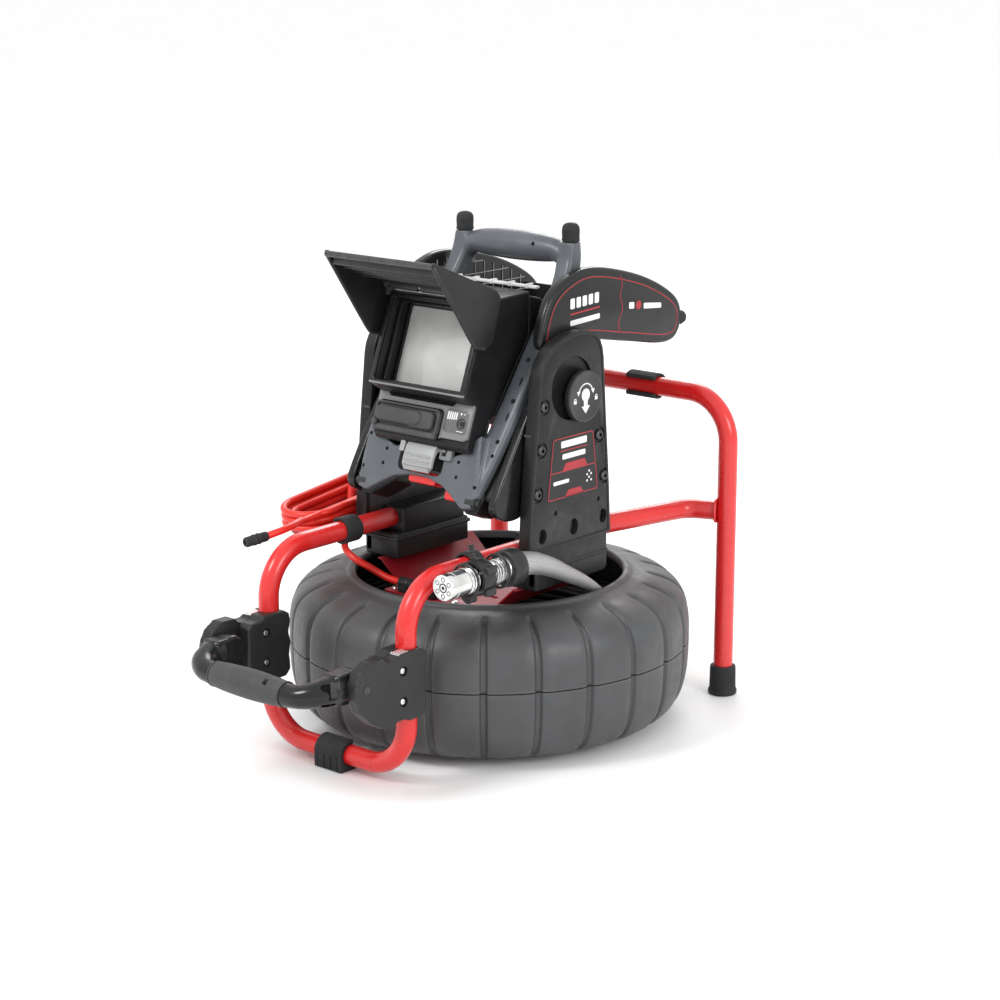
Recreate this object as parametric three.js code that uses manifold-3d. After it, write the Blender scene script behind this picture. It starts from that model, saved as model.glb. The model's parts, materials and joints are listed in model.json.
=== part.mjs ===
// Pipe inspection camera: a lying cable drum in a bent-tube frame, with a docked monitor.
// Millimetres, +Z up. The drum axis is X = Y = 0 while the parts are placed; the screen faces -Y.
import * as THREE from 'three';
import { mergeVertices } from 'three/addons/utils/BufferGeometryUtils.js';
import Module from 'manifold-3d';

const wasm = await Module();
wasm.setup();

// ---------------------------------------------------------------- driving dimensions
const GAP = 0.3;                       // clearance kept between touching pieces

const TUBE_R = 9.6;                    // frame tube, about 19 mm across
const FRONT_X = 87;                    // half spacing of the front uprights and the rails
const FRONT_Y = -214;                  // plane of the front loop
const FRONT_LOW_Z = 15;                // centre of its bottom run
const RAIL_Z = 190;                    // centre height of the two rails over the drum
const REAR_X = 148;                    // half spacing of the rear legs
const REAR_Y = 188;                    // plane of the rear loop
const CROSSBAR_Z = 304;                // centre height of the rear crossbar
const LEG_END_Z = 8;                   // cut end of a rear leg, inside its foot
const BEND_R = 46;                     // bend radius of the tubes

const DRUM_R = 195.5;                  // at the seam between the two shells
const DRUM_LOW_Z = 6;
const DRUM_SEAM_Z = 80;
const DRUM_MOUTH_R = 130;
const DRUM_WALL = 4;

const PLATE_IN = 97;                   // side plates of the dock, inner and outer face
const PLATE_OUT = 110;
const PIVOT = { y: 2, z: 330 };        // tilt axis of the monitor and axis of the lock knob

const TILT = THREE.MathUtils.degToRad(-20.7);       // lean of the screen
const MONITOR = { y: -104, z: 337 };                // lower front edge of the screen housing
const HOUSING_X = 59;
const SCREEN = { x: 54, low: 4, high: 84, depth: 27 };

const HOOD_PIVOT = { y: -75, z: 427 };              // hinge axis of the sun hood
const BUTTON = { x: 49, z: -22, r: 3 };             // power button, in the leaning frame

const HANDLE_PIVOT = { y: -278, z: 112 };           // hinge axis of the front handle
const GRIP = { y: -321, z: 107, half: 47, r: 13.5 };

const CAMERA = { x: 118, z: 190, front: -199, r: 12 };

const CORD_R = 3.5;                    // system cable, 7 mm across
const MID_Y = -66;                     // middle of the whole length, moved to Y = 0 at the end

// ---------------------------------------------------------------- materials
const paint = (color, roughness, metalness = 0) =>
  new THREE.MeshStandardMaterial({ color, roughness, metalness });
const RED = paint(0xd81f26, 0.35);
const DARK_RED = paint(0xa3151d, 0.4);
const DRUM_GREY = paint(0x55585b, 0.6);
const BLACK = paint(0x26282a, 0.5);
const GREY = paint(0x6b7075, 0.45, 0.2);
const RUBBER = paint(0x2d2e30, 0.8);
const STEEL = paint(0xb9bbbd, 0.3, 0.9);
const GLASS = paint(0xb4b6b4, 0.1);
const LATCH_GREY = paint(0xa7a9aa, 0.45);
const BOARD_GREEN = paint(0x1f5c3a, 0.6);
const BRAID = paint(0x8f9092, 0.6, 0.5);
const CORD_RED = paint(0xe0301e, 0.5);

// ---------------------------------------------------------------- shape helpers
function solidOf(geometry) {
  const plain = geometry.clone();
  plain.deleteAttribute('normal');
  plain.deleteAttribute('uv');
  const merged = mergeVertices(plain, 1e-4);
  return new wasm.Manifold(new wasm.Mesh({
    numProp: 3,
    vertProperties: new Float32Array(merged.attributes.position.array),
    triVerts: new Uint32Array(merged.index.array),
  }));
}

function geometryOf(solid) {
  const mesh = solid.getMesh();
  const geometry = new THREE.BufferGeometry();
  geometry.setAttribute('position', new THREE.BufferAttribute(new Float32Array(mesh.vertProperties), 3));
  geometry.setIndex(new THREE.BufferAttribute(new Uint32Array(mesh.triVerts), 1));
  geometry.computeVertexNormals();
  return geometry;
}

const join = (first, ...rest) =>
  geometryOf(rest.reduce((sum, next) => sum.add(solidOf(next)), solidOf(first)));
const cut = (first, ...rest) =>
  geometryOf(rest.reduce((sum, next) => sum.subtract(solidOf(next)), solidOf(first)));

function box(x0, x1, y0, y1, z0, z1) {
  const geometry = new THREE.BoxGeometry(x1 - x0, y1 - y0, z1 - z0);
  return geometry.translate((x0 + x1) / 2, (y0 + y1) / 2, (z0 + z1) / 2);
}

// Cylinder centred at (x, y, z) along axis 'x', 'y' or 'z'.
function rod(axis, radius, length, x, y, z, sides = 20, endRadius = radius) {
  const geometry = new THREE.CylinderGeometry(endRadius, radius, length, sides);
  if (axis === 'x') geometry.rotateZ(-Math.PI / 2);
  if (axis === 'z') geometry.rotateX(Math.PI / 2);
  return geometry.translate(x, y, z);
}

// Turned shape about +Z: profile is a list of [radius, z], closed on itself or on the axis.
function turned(profile, sides) {
  const points = profile.map(([r, z]) => new THREE.Vector2(r, z));
  return new THREE.LatheGeometry(points, sides).rotateX(Math.PI / 2);
}

function outline(points) {
  return new THREE.Shape(points.map(([a, b]) => new THREE.Vector2(a, b)));
}

// Smooth closed outline through a few points.
function smoothOutline(points, divisions) {
  const curve = new THREE.CatmullRomCurve3(
    points.map(([a, b]) => new THREE.Vector3(a, b, 0)), true, 'centripetal');
  return outline(curve.getSpacedPoints(divisions).slice(0, -1).map((p) => [p.x, p.y]));
}

const extrude = (shape, depth) =>
  new THREE.ExtrudeGeometry(shape, { depth, bevelEnabled: false, curveSegments: 8 });

// Extrudes a (y, z) outline along X from x0 to x1.
function alongX(shape, x0, x1) {
  const turn = new THREE.Matrix4().makeBasis(
    new THREE.Vector3(0, 1, 0), new THREE.Vector3(0, 0, 1), new THREE.Vector3(1, 0, 0));
  return extrude(shape, x1 - x0).applyMatrix4(turn).translate(x0, 0, 0);
}

// Extrudes an (x, z) outline along Y from y0 to y1.
const alongY = (shape, y0, y1) => extrude(shape, y1 - y0).rotateX(Math.PI / 2).translate(0, y1, 0);

const circle = (radius, sides) => outline(Array.from({ length: sides }, (_, i) => {
  const angle = (2 * Math.PI * i) / sides;
  return [radius * Math.cos(angle), radius * Math.sin(angle)];
}));

// Centre line through points, each inner corner rounded to the given radius.
function roundedPath(points, radius) {
  const corners = points.map((p) => new THREE.Vector3(...p));
  const path = new THREE.CurvePath();
  let start = corners[0];
  for (let i = 1; i < corners.length - 1; i += 1) {
    const before = corners[i - 1].clone().sub(corners[i]).normalize();
    const after = corners[i + 1].clone().sub(corners[i]).normalize();
    const half = before.angleTo(after) / 2;
    const trim = radius / Math.tan(half);
    const enter = corners[i].clone().addScaledVector(before, trim);
    const leave = corners[i].clone().addScaledVector(after, trim);
    const turnAngle = Math.PI - 2 * half;
    const pull = (4 / 3) * Math.tan(turnAngle / 4) * radius;
    path.add(new THREE.LineCurve3(start, enter));
    path.add(new THREE.CubicBezierCurve3(enter,
      enter.clone().addScaledVector(before, -pull),
      leave.clone().addScaledVector(after, -pull), leave));
    start = leave;
  }
  path.add(new THREE.LineCurve3(start, corners.at(-1)));
  return path;
}

const tube = (path, radius, steps, sides = 12) =>
  new THREE.ExtrudeGeometry(circle(radius, sides), { steps, bevelEnabled: false, extrudePath: path });

const spline = (points) => new THREE.CatmullRomCurve3(points.map((p) => new THREE.Vector3(...p)));

// ---------------------------------------------------------------- assembly helpers
const model = new THREE.Group();
model.position.set(0, -MID_Y, 0);

const monitor = new THREE.Group();     // local frame of the screen housing, leaning back
monitor.position.set(0, MONITOR.y, MONITOR.z);
monitor.rotation.x = TILT;
model.add(monitor);

function add(name, geometry, material, parent = model) {
  const mesh = new THREE.Mesh(geometry, material);
  mesh.name = name;
  parent.add(mesh);
}

const SIDES = [['left', -1], ['right', 1]];

// Mirrored box: x0 and x1 are distances from the middle plane.
const sideBox = (side, x0, x1, y0, y1, z0, z1) =>
  (side > 0 ? box(x0, x1, y0, y1, z0, z1) : box(-x1, -x0, y0, y1, z0, z1));
const sideAlongX = (shape, side, x0, x1) =>
  (side > 0 ? alongX(shape, x0, x1) : alongX(shape, -x1, -x0));

// ---------------------------------------------------------------- tube frame
const FRONT_BEND_END = FRONT_Y + BEND_R + 4;        // where the front loop meets the rails

function frontLoop() {
  const corners = [
    [FRONT_X, FRONT_BEND_END, RAIL_Z], [FRONT_X, FRONT_Y, RAIL_Z], [FRONT_X, FRONT_Y, FRONT_LOW_Z],
    [-FRONT_X, FRONT_Y, FRONT_LOW_Z], [-FRONT_X, FRONT_Y, RAIL_Z], [-FRONT_X, FRONT_BEND_END, RAIL_Z]];
  return tube(roundedPath(corners, BEND_R), TUBE_R, 38);
}

function rail(side) {
  const corners = [
    [side * FRONT_X, FRONT_BEND_END + GAP, RAIL_Z], [side * FRONT_X, 64, RAIL_Z],
    [side * 112, 170, RAIL_Z], [side * (REAR_X - TUBE_R - GAP), REAR_Y - 8, RAIL_Z]];
  return tube(roundedPath(corners, 24), TUBE_R, 18);
}

function rearLoop() {
  const corners = [
    [-REAR_X, REAR_Y, LEG_END_Z], [-REAR_X, REAR_Y, CROSSBAR_Z],
    [REAR_X, REAR_Y, CROSSBAR_Z], [REAR_X, REAR_Y, LEG_END_Z]];
  return tube(roundedPath(corners, BEND_R), TUBE_R, 32);
}

function foot(side) {
  const bore = TUBE_R + GAP;
  const profile = [[0, 0], [14, 0], [14.5, 3], [13, 30], [bore, 30], [bore, LEG_END_Z - GAP],
    [0, LEG_END_Z - GAP]];
  return turned(profile, 20).translate(side * REAR_X, REAR_Y, 0);
}

// Rubber clip around a tube that runs along X, open at the back.
function tubeClip(x0, x1, y, z, bottom) {
  const wall = TUBE_R + 4.5;
  return cut(
    join(rod('x', wall, x1 - x0, (x0 + x1) / 2, y, z, 20), box(x0, x1, y - wall, y + 8, bottom, z)),
    rod('x', TUBE_R + GAP, x1 - x0 + 2, (x0 + x1) / 2, y, z, 20),
    box(x0 - 1, x1 + 1, y + 4, y + 30, z - 6, z + 6));
}

function crossbarPad(side) {
  const x0 = side * 45 - 18;
  return cut(
    rod('x', TUBE_R + 3.6, 36, x0 + 18, REAR_Y, CROSSBAR_Z, 20),
    rod('x', TUBE_R + GAP, 40, x0 + 18, REAR_Y, CROSSBAR_Z, 20),
    box(x0 - 1, x0 + 37, REAR_Y - 30, REAR_Y - 4, CROSSBAR_Z - 6, CROSSBAR_Z + 6));
}

function railPad() {
  return cut(
    rod('y', TUBE_R + 3.6, 20, -FRONT_X, -108, RAIL_Z, 20),
    rod('y', TUBE_R + GAP, 24, -FRONT_X, -108, RAIL_Z, 20),
    box(-FRONT_X - 30, -FRONT_X - 4, -130, -90, RAIL_Z - 6, RAIL_Z + 6));
}

add('front_loop_tube', frontLoop(), RED);
add('rear_loop_tube', rearLoop(), RED);
SIDES.forEach(([label, side]) => {
  add(`${label}_rail_tube`, rail(side), RED);
  add(`${label}_foot`, foot(side), RUBBER);
  add(`${label}_crossbar_pad`, crossbarPad(side), RUBBER);
});
add('front_foot_pad', tubeClip(-17, 17, FRONT_Y, FRONT_LOW_Z, 0), RUBBER);
add('rail_pad', railPad(), RUBBER);

// ---------------------------------------------------------------- dock: side plates, tray, axle
const SILL = { low: 153, high: 178 };

function sidePlate(side) {
  const face = outline([[-72, 186], [-70, 225], [-57, 352], [-52, 368], [-36, 382], [-14, 389],
    [4, 391], [21, 388], [32, 379], [37, 362], [41, 310], [47, 240], [50, 186]]);
  const sill = join(
    sideBox(side, 66, 109, -60, 70, SILL.low, SILL.high),
    sideBox(side, 100, 109, -60, 48, SILL.low, 190));
  const hollow = outline([[-66, 180], [-64, 225], [-51, 352], [-12, 383], [4, 385], [18, 382],
    [31, 362], [35, 310], [41, 240], [44, 180]]);
  const holes = [[-62, 207], [-8, 206], [43, 207]].map(([y, z]) => rod('x', 5, 60, side * 108, y, z, 12));
  return cut(
    join(sideAlongX(face, side, PLATE_IN, PLATE_OUT), sill),
    sideAlongX(hollow, side, PLATE_IN - 1, PLATE_OUT - 5),
    rod('x', 6.3, 40, side * 108, PIVOT.y, PIVOT.z, 20),
    ...holes);
}

function tray() {
  const t = 2;
  const section = outline([[-86, 152], [-62, 128], [62, 128], [86, 152], [83, 152], [61, 128 + t],
    [-61, 128 + t], [-83, 152]]);
  const flange = box(-62, 62, -84, -62, 128, 128 + t);
  return cut(join(alongY(section, -64, 72), flange), rod('z', 12.3, 20, 0, 0, 129, 20));
}

// Fixed axle: top flange under the tray, retaining washer under the bearing.
function hubAxle() {
  return join(rod('z', 12, 120, 0, 0, 76, 20), rod('z', 22, 5, 0, 0, 125.2, 20),
    rod('z', 15.5, 4, 0, 0, 17, 20));
}

SIDES.forEach(([label, side]) => {
  add(`${label}_side_plate`, sidePlate(side), BLACK);
});
add('tray', tray(), DARK_RED);
add('hub_axle', hubAxle(), STEEL);

// ---------------------------------------------------------------- drum
const outerWall = [[148, DRUM_LOW_Z], [172, 13], [187, 28], [193.5, 50], [DRUM_R, DRUM_SEAM_Z]];
const upperWall = [[DRUM_R, DRUM_SEAM_Z], [193, 104], [184, 124], [170, 137], [150, 142.5],
  [138, 143.5], [136, 146], [DRUM_MOUTH_R, 146]];

function lowerShell() {
  const w = DRUM_WALL;
  const top = DRUM_SEAM_Z - GAP / 2;
  const outer = outerWall.slice(0, -1);
  const inner = outer.map(([r, z]) => [r - w, z + w * 0.7]).reverse();
  return turned([[31, DRUM_LOW_Z], ...outer, [DRUM_R, top], [DRUM_R - w, top], ...inner,
    [31, DRUM_LOW_Z + w], [31, DRUM_LOW_Z]], 40);
}

function upperShell() {
  const w = DRUM_WALL;
  const low = DRUM_SEAM_Z + GAP / 2;
  return turned([[DRUM_R - w, low], [DRUM_R, low], ...upperWall.slice(1), [DRUM_MOUTH_R, 140],
    [150, 138.5], [167, 133], [180.5, 121], [189, 103], [DRUM_R - w, low]], 40);
}

function drumHub() {
  const bore = 16.3;
  return turned([[bore, 7], [30.6, 7], [30.6, 100], [bore, 100], [bore, 7]], 28);
}

function axleBearing() {
  return turned([[12.3, 20], [16, 20], [16, 96], [12.3, 96], [12.3, 20]], 24);
}

add('drum_lower_shell', lowerShell(), DRUM_GREY);
add('drum_upper_shell', upperShell(), DRUM_GREY);
add('drum_hub', drumHub(), DRUM_GREY);
add('axle_bearing', axleBearing(), STEEL);
add('slip_ring', turned([[12.4, 103], [29, 103], [29, 121], [12.4, 121], [12.4, 103]], 24), BLACK);
add('push_cable_coil', turned([[118, 16], [166, 18], [184, 40], [187, 78], [185, 98], [150, 100],
  [118, 90], [118, 16]], 36), BLACK);

// ---------------------------------------------------------------- clamps and front handle
const CLAMP = { low: 66, high: 144, back: -197, front: -262 };

function clampBlock(side, x0, x1, ear) {
  const shape = ear
    ? outline([[CLAMP.back, 76], [CLAMP.back, 138], [-206, CLAMP.high], [-258, 143], [-272, 136],
      [-288, 130], [-295, 118], [-295, 106], [-286, 92], [-274, 78], [-258, CLAMP.low], [-222, CLAMP.low]])
    : outline([[CLAMP.back, 76], [CLAMP.back, 138], [-206, CLAMP.high], [CLAMP.front + 8, 143],
      [CLAMP.front + 8, 70], [-222, CLAMP.low]]);
  const bore = rod('z', TUBE_R + 2 * GAP, 200, side * FRONT_X, FRONT_Y, 110, 20);
  const solid = sideAlongX(shape, side, x0, x1);
  return ear
    ? cut(solid, bore, rod('x', 4.3, 60, side * 94, HANDLE_PIVOT.y, HANDLE_PIVOT.z, 16))
    : cut(solid, bore);
}

function handleFrame() {
  const arm = (side) => {
    const y = HANDLE_PIVOT.y;
    const z = HANDLE_PIVOT.z;
    const root = cut(
      join(rod('x', 15, 20, side * 76, y, z, 20), sideBox(side, 66, 86, y - 18, y, z - 14, z + 14)),
      rod('x', 4.3, 60, side * 76, y, z, 16));
    const reach = tube(spline([
      [side * 74, y - 14, z], [side * 72, y - 24, z - 1], [side * 66, GRIP.y + 6, z - 3],
      [side * 56, GRIP.y, GRIP.z], [side * 44, GRIP.y, GRIP.z]]), 10, 10, 12);
    return join(root, reach);
  };
  return join(arm(-1), arm(1), rod('x', 6.5, 2 * GRIP.half + 4, 0, GRIP.y, GRIP.z, 12));
}

function handleGrip() {
  const half = GRIP.half - 3.4;
  const bore = 6.8;
  return turned([[bore, -half], [11.5, -half], [13, -half * 0.5], [GRIP.r, 0], [13, half * 0.5],
    [11.5, half], [bore, half], [bore, -half]], 20)
    .rotateY(Math.PI / 2).translate(0, GRIP.y, GRIP.z);
}

function handlePin(side) {
  const head = rod('x', 7, 3, side * 103.1, HANDLE_PIVOT.y, HANDLE_PIVOT.z, 16);
  const shank = rod('x', 4, 36, side * 84, HANDLE_PIVOT.y, HANDLE_PIVOT.z, 16);
  return join(shank, head);
}

SIDES.forEach(([label, side]) => {
  add(`${label}_clamp_outer`, clampBlock(side, FRONT_X + GAP / 2, 101, true), BLACK);
  add(`${label}_clamp_inner`, clampBlock(side, 73, FRONT_X - GAP / 2, false), BLACK);
  add(`${label}_handle_pin`, handlePin(side), STEEL);
});
add('front_handle_frame', handleFrame(), BLACK);
add('front_handle_grip', handleGrip(), RUBBER);

// ---------------------------------------------------------------- camera head on the right rail
const alongCamera = (radius, length, y, sides = 20, endRadius = radius) =>
  rod('y', radius, length, CAMERA.x, y, CAMERA.z, sides, endRadius);

const railSpace = (y) => rod('y', TUBE_R + 2 * GAP, 60, FRONT_X, y, RAIL_Z, 20);

function guide(y0, y1, bore, outer, lobes) {
  const points = Array.from({ length: lobes * 4 }, (_, i) => {
    const angle = (2 * Math.PI * i) / (lobes * 4);
    const radius = i % 4 === 0 || i % 4 === 1 ? outer : outer - 4;
    return [CAMERA.x + radius * Math.cos(angle), CAMERA.z + radius * Math.sin(angle)];
  });
  return cut(alongY(outline(points), y0, y1),
    rod('y', bore, 80, CAMERA.x, (y0 + y1) / 2, CAMERA.z, 24), railSpace((y0 + y1) / 2));
}

function cameraHolder() {
  const y0 = -137;
  const y1 = -119;
  const mid = (y0 + y1) / 2;
  const width = y1 - y0;
  return cut(
    join(
      rod('y', TUBE_R + 3.5, width, FRONT_X, mid, RAIL_Z, 20),
      rod('y', CAMERA.r + 5, width, CAMERA.x, mid, CAMERA.z, 20),
      box(FRONT_X, CAMERA.x, y0, y1, RAIL_Z - 15, RAIL_Z - 5)),
    rod('y', TUBE_R + GAP, width + 4, FRONT_X, mid, RAIL_Z, 20),
    alongCamera(CAMERA.r + GAP, width + 4, mid, 24),
    box(CAMERA.x - 7, CAMERA.x + 7, y0 - 1, y1 + 1, CAMERA.z, CAMERA.z + 30));
}

function cableSleeve() {
  const path = spline([
    [CAMERA.x, -98, CAMERA.z], [CAMERA.x, -94, CAMERA.z], [CAMERA.x + 2, -76, CAMERA.z - 2],
    [CAMERA.x + 6, -46, CAMERA.z - 14], [CAMERA.x + 6, -16, CAMERA.z - 31],
    [CAMERA.x + 4, 10, CAMERA.z - 46], [CAMERA.x - 3, 40, CAMERA.z - 66], [98, 76, 106]]);
  return tube(path, 5.2, 20, 10);
}

add('camera_head', join(alongCamera(CAMERA.r, 58, CAMERA.front + 31),
  alongCamera(CAMERA.r - 2.5, 4, CAMERA.front + 61)), STEEL);
add('camera_lens', alongCamera(CAMERA.r - 1.5, 1.6, CAMERA.front + 0.9, 20), GLASS);
add('camera_spring', alongCamera(CAMERA.r - 1.5, 36, -117), STEEL);
add('front_guide', guide(-160, -144, CAMERA.r + GAP, 23, 5), RUBBER);
add('rear_guide', cut(alongCamera(17.5, 15, -107, 24), alongCamera(CAMERA.r + GAP, 20, -107, 24),
  railSpace(-107)), RUBBER);
add('camera_holder', cameraHolder(), BLACK);
add('cable_sleeve', cableSleeve(), BRAID);

// ---------------------------------------------------------------- system cable on the left
const COIL = { x: -148, y: -45, z: 196, half: 80, outer: 33, inner: 17, height: 30 };

function cableCoil() {
  const straight = COIL.half - COIL.outer;
  const ring = (radius) => {
    const arc = (centre, from) => Array.from({ length: 9 }, (_, i) => {
      const angle = from + (Math.PI * i) / 8;
      return [radius * Math.cos(angle), centre + radius * Math.sin(angle)];
    });
    return [...arc(straight, 0), ...arc(-straight, Math.PI)];
  };
  const shape = outline(ring(COIL.outer));
  shape.holes.push(new THREE.Path(ring(COIL.inner).reverse().map(([a, b]) => new THREE.Vector2(a, b))));
  return extrude(shape, COIL.height).translate(0, 0, -COIL.height / 2)
    .rotateX(THREE.MathUtils.degToRad(7)).translate(COIL.x, COIL.y, COIL.z);
}

const leadRoute = [
  [-14.3, -79, 138.5], [-38, -79, 138.5], [-60, -80, 140], [-80, -83, 147], [-99, -88, 155.5],
  [-114, -84, 163], [-122, -72, 172]];
const tailRoute = [
  [-123.5, -120.3, 197.5], [-116, -140, 200], [-107, -160, 201], [-104, -178, 200], [-108, -194, 197]];

add('system_cable_lead', tube(spline(leadRoute), CORD_R, 16, 8), CORD_RED);
add('system_cable_coil', cableCoil(), CORD_RED);
add('system_cable_tail', tube(spline(tailRoute), CORD_R, 12, 8), CORD_RED);
const plug = new THREE.Mesh(rod('y', 5, 24, 0, -12.3, 0, 16), BLACK);
plug.name = 'system_cable_plug';
plug.position.set(...tailRoute.at(-1));
plug.rotation.set(THREE.MathUtils.degToRad(7), 0, THREE.MathUtils.degToRad(-14));
model.add(plug);
const cordBore = (length, x) => rod('x', CORD_R + GAP, length, x, -79, 138.5, 12);
add('cable_gland', cut(box(-14, 2, -84, -62, 130.3, 148), cordBore(10, -14)), BLACK);
add('cable_clip', cut(box(-44, -32, -84, -74, 130.3, 144), cordBore(20, -38)), BLACK);

// ---------------------------------------------------------------- lock knob
add('lock_knob', join(rod('x', 25, 6, PLATE_OUT + 3.4, PIVOT.y, PIVOT.z, 28),
  rod('x', 12, 2, PLATE_OUT + 6.9, PIVOT.y, PIVOT.z, 20)), GREY);

// ---------------------------------------------------------------- monitor: cast frame
function monitorFrame() {
  const band = outline([[-107, 245], [-88, 284], [-58, 330], [-22, 378], [12, 418], [30, 442], [34, 464],
    [48, 464], [49, 438], [34, 412], [0, 368], [-30, 326], [-60, 280], [-84, 246], [-98, 241]]);
  const rails = SIDES.map(([, side]) => sideAlongX(band, side, 62, 84));
  const chin = outline([[-107, 245], [-89, 283], [-80, 283], [-92, 246]]);
  const grip = tube(spline([[-66, 41, 446], [-52, 41, 453], [-26, 41, 456], [0, 41, 457], [26, 41, 456],
    [52, 41, 453], [66, 41, 446]]), 13, 14, 14);
  return cut(
    join(...rails, alongX(chin, -70, 70), grip),
    box(-28, 28, -130, -60, 262, 300));
}

function housing() {
  const shell = outline([[-104, 337], [-72, 421], [-10, 424], [-12, 382], [-46, 336], [-80, 288.5],
    [-100.5, 288.5], [-86.5, 325.5]]);
  const body = alongX(shell, -HOUSING_X, HOUSING_X);
  const leaning = (geometry) => geometry.rotateX(TILT).translate(0, MONITOR.y, MONITOR.z);
  const cavity = leaning(box(-SCREEN.x, SCREEN.x, -5, 44, SCREEN.low, SCREEN.high));
  const buttonHole = leaning(rod('y', BUTTON.r + GAP, 8, BUTTON.x, 21, BUTTON.z, 16));
  const lugs = SIDES.flatMap(([, side]) => [
    rod('x', 4.4, 4.4, side * 61, HOOD_PIVOT.y, HOOD_PIVOT.z, 16),
    sideBox(side, 57, 63.2, HOOD_PIVOT.y, HOOD_PIVOT.y + 7, 416, HOOD_PIVOT.z)]);
  return cut(join(body, ...lugs), cavity, buttonHole,
    rod('x', 2.3, 140, 0, HOOD_PIVOT.y, HOOD_PIVOT.z, 12));
}

// Shell that closes the back of the monitor, around the tilt shaft.
function rearCover() {
  const outside = outline([[-9.6, 420], [-11.6, 382.2], [-45.5, 336.2], [-61, 315], [-34, 296], [8, 298],
    [28, 324], [34, 364], [28, 394], [8, 416]]);
  const inside = outline([[-30, 410], [-32, 380], [-60, 330], [-40, 306], [-28, 300], [5, 302], [24, 326],
    [30, 364], [24, 392], [5, 410]]);
  return cut(alongX(outside, -HOUSING_X, HOUSING_X), alongX(inside, -HOUSING_X + 3, HOUSING_X - 3),
    rod('x', 6.4, 2 * HOUSING_X + 10, 0, PIVOT.y, PIVOT.z, 20));
}

function cheek(side) {
  const shape = outline([[-82, 243], [-58, 278], [-28, 324], [8, 372], [30, 372], [33, 340],
    [25, 300], [-20, 250], [-66, 222]]);
  return cut(sideAlongX(shape, side, 84.4, 94), rod('x', 6.4, 40, side * 90, PIVOT.y, PIVOT.z, 20));
}

function fin(side) {
  const shape = smoothOutline([[-36, 392], [-24, 420], [2, 438], [40, 444], [104, 431], [152, 412],
    [176, 393], [176, 368], [154, 357], [90, 367], [20, 379], [-24, 382]], 34);
  return sideAlongX(shape, side, 84.4, 95.4);
}

function storageTray() {
  return join(box(-84, 84, 52, 160, 376, 379), box(-84, 84, 157, 160, 376, 398));
}

// Sun hood: a top flap with two wings, turning on a pin through the lugs of the housing.
function hood() {
  const half = 67;
  const wing = outline([[-152, 466], [-150, 461], [-98, 388], [-92, 383], [-82, 381], [-72, 385],
    [-60, 424], [-64, 429], [-72, 431]]);
  const top = outline([[-152, 466], [-72, 431], [-70, 427], [-73, 424.5], [-152, 462]]);
  const flap = join(
    alongX(top, -half, half),
    alongX(wing, half - 3.5, half), alongX(wing, -half, -half + 3.5),
    rod('x', 4.4, 113, 0, HOOD_PIVOT.y, HOOD_PIVOT.z, 16));
  const lugSpaces = SIDES.flatMap(([, side]) => [
    rod('x', 4.9, 6.8, side * 60.1, HOOD_PIVOT.y, HOOD_PIVOT.z, 16),
    sideBox(side, 56.7, 63.5, HOOD_PIVOT.y, -60, 410, 435)]);
  return cut(flap, ...lugSpaces, rod('x', 2.3, 126, 0, HOOD_PIVOT.y, HOOD_PIVOT.z, 12));
}

add('monitor_frame', monitorFrame(), GREY);
add('screen_housing', housing(), BLACK);
add('rear_cover', rearCover(), BLACK);
add('screen_hood', hood(), BLACK);
add('hood_pin', rod('x', 2, 126, 0, HOOD_PIVOT.y, HOOD_PIVOT.z, 12), STEEL);
SIDES.forEach(([label, side]) => {
  add(`${label}_cheek`, cheek(side), BLACK);
  add(`${label}_fin`, fin(side), BLACK);
  add(`${label}_stop_cap`, rod('z', 8.3, 18, side * 66, 41, 475.5, 16), RUBBER);
});
add('storage_tray', storageTray(), BLACK);
add('pivot_shaft', rod('x', 6, 2 * (PLATE_OUT - 1), 0, PIVOT.y, PIVOT.z, 20), STEEL);

// ---------------------------------------------------------------- monitor: pieces in its leaning frame
// Finger paddle with its own cross pin, seated between the walls of the frame's slot.
function latchPaddle() {
  return join(box(-16, 21, 22, 25.5, -71, -46), box(-16, 21, 24, 32, -50.5, -46),
    rod('x', 2, 55.2, 0, 30, -48, 12));
}

// Rubber door of the port bay, hinged along its lower edge.
function portDoor() {
  return join(box(-56, 24, 14, 19.6, -38, -13), rod('x', 3, 80, -16, 16, -38, 12));
}

add('lcd_panel', box(-SCREEN.x + GAP, SCREEN.x - GAP, SCREEN.depth, SCREEN.depth + 4,
  SCREEN.low + GAP, SCREEN.high - GAP), GLASS, monitor);
add('main_board', box(-50, 50, 36, 38, 10, 78), BOARD_GREEN, monitor);
add('port_door', portDoor(), RUBBER, monitor);
add('power_button', rod('y', BUTTON.r, 5, BUTTON.x, 20, BUTTON.z, 12), RUBBER, monitor);
add('latch_paddle', latchPaddle(), LATCH_GREY, monitor);

export default model;
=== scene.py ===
"""Looks of the pipe inspection camera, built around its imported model."""
import json
import math

import bmesh
import bpy
from mathutils import Matrix, Vector


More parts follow.
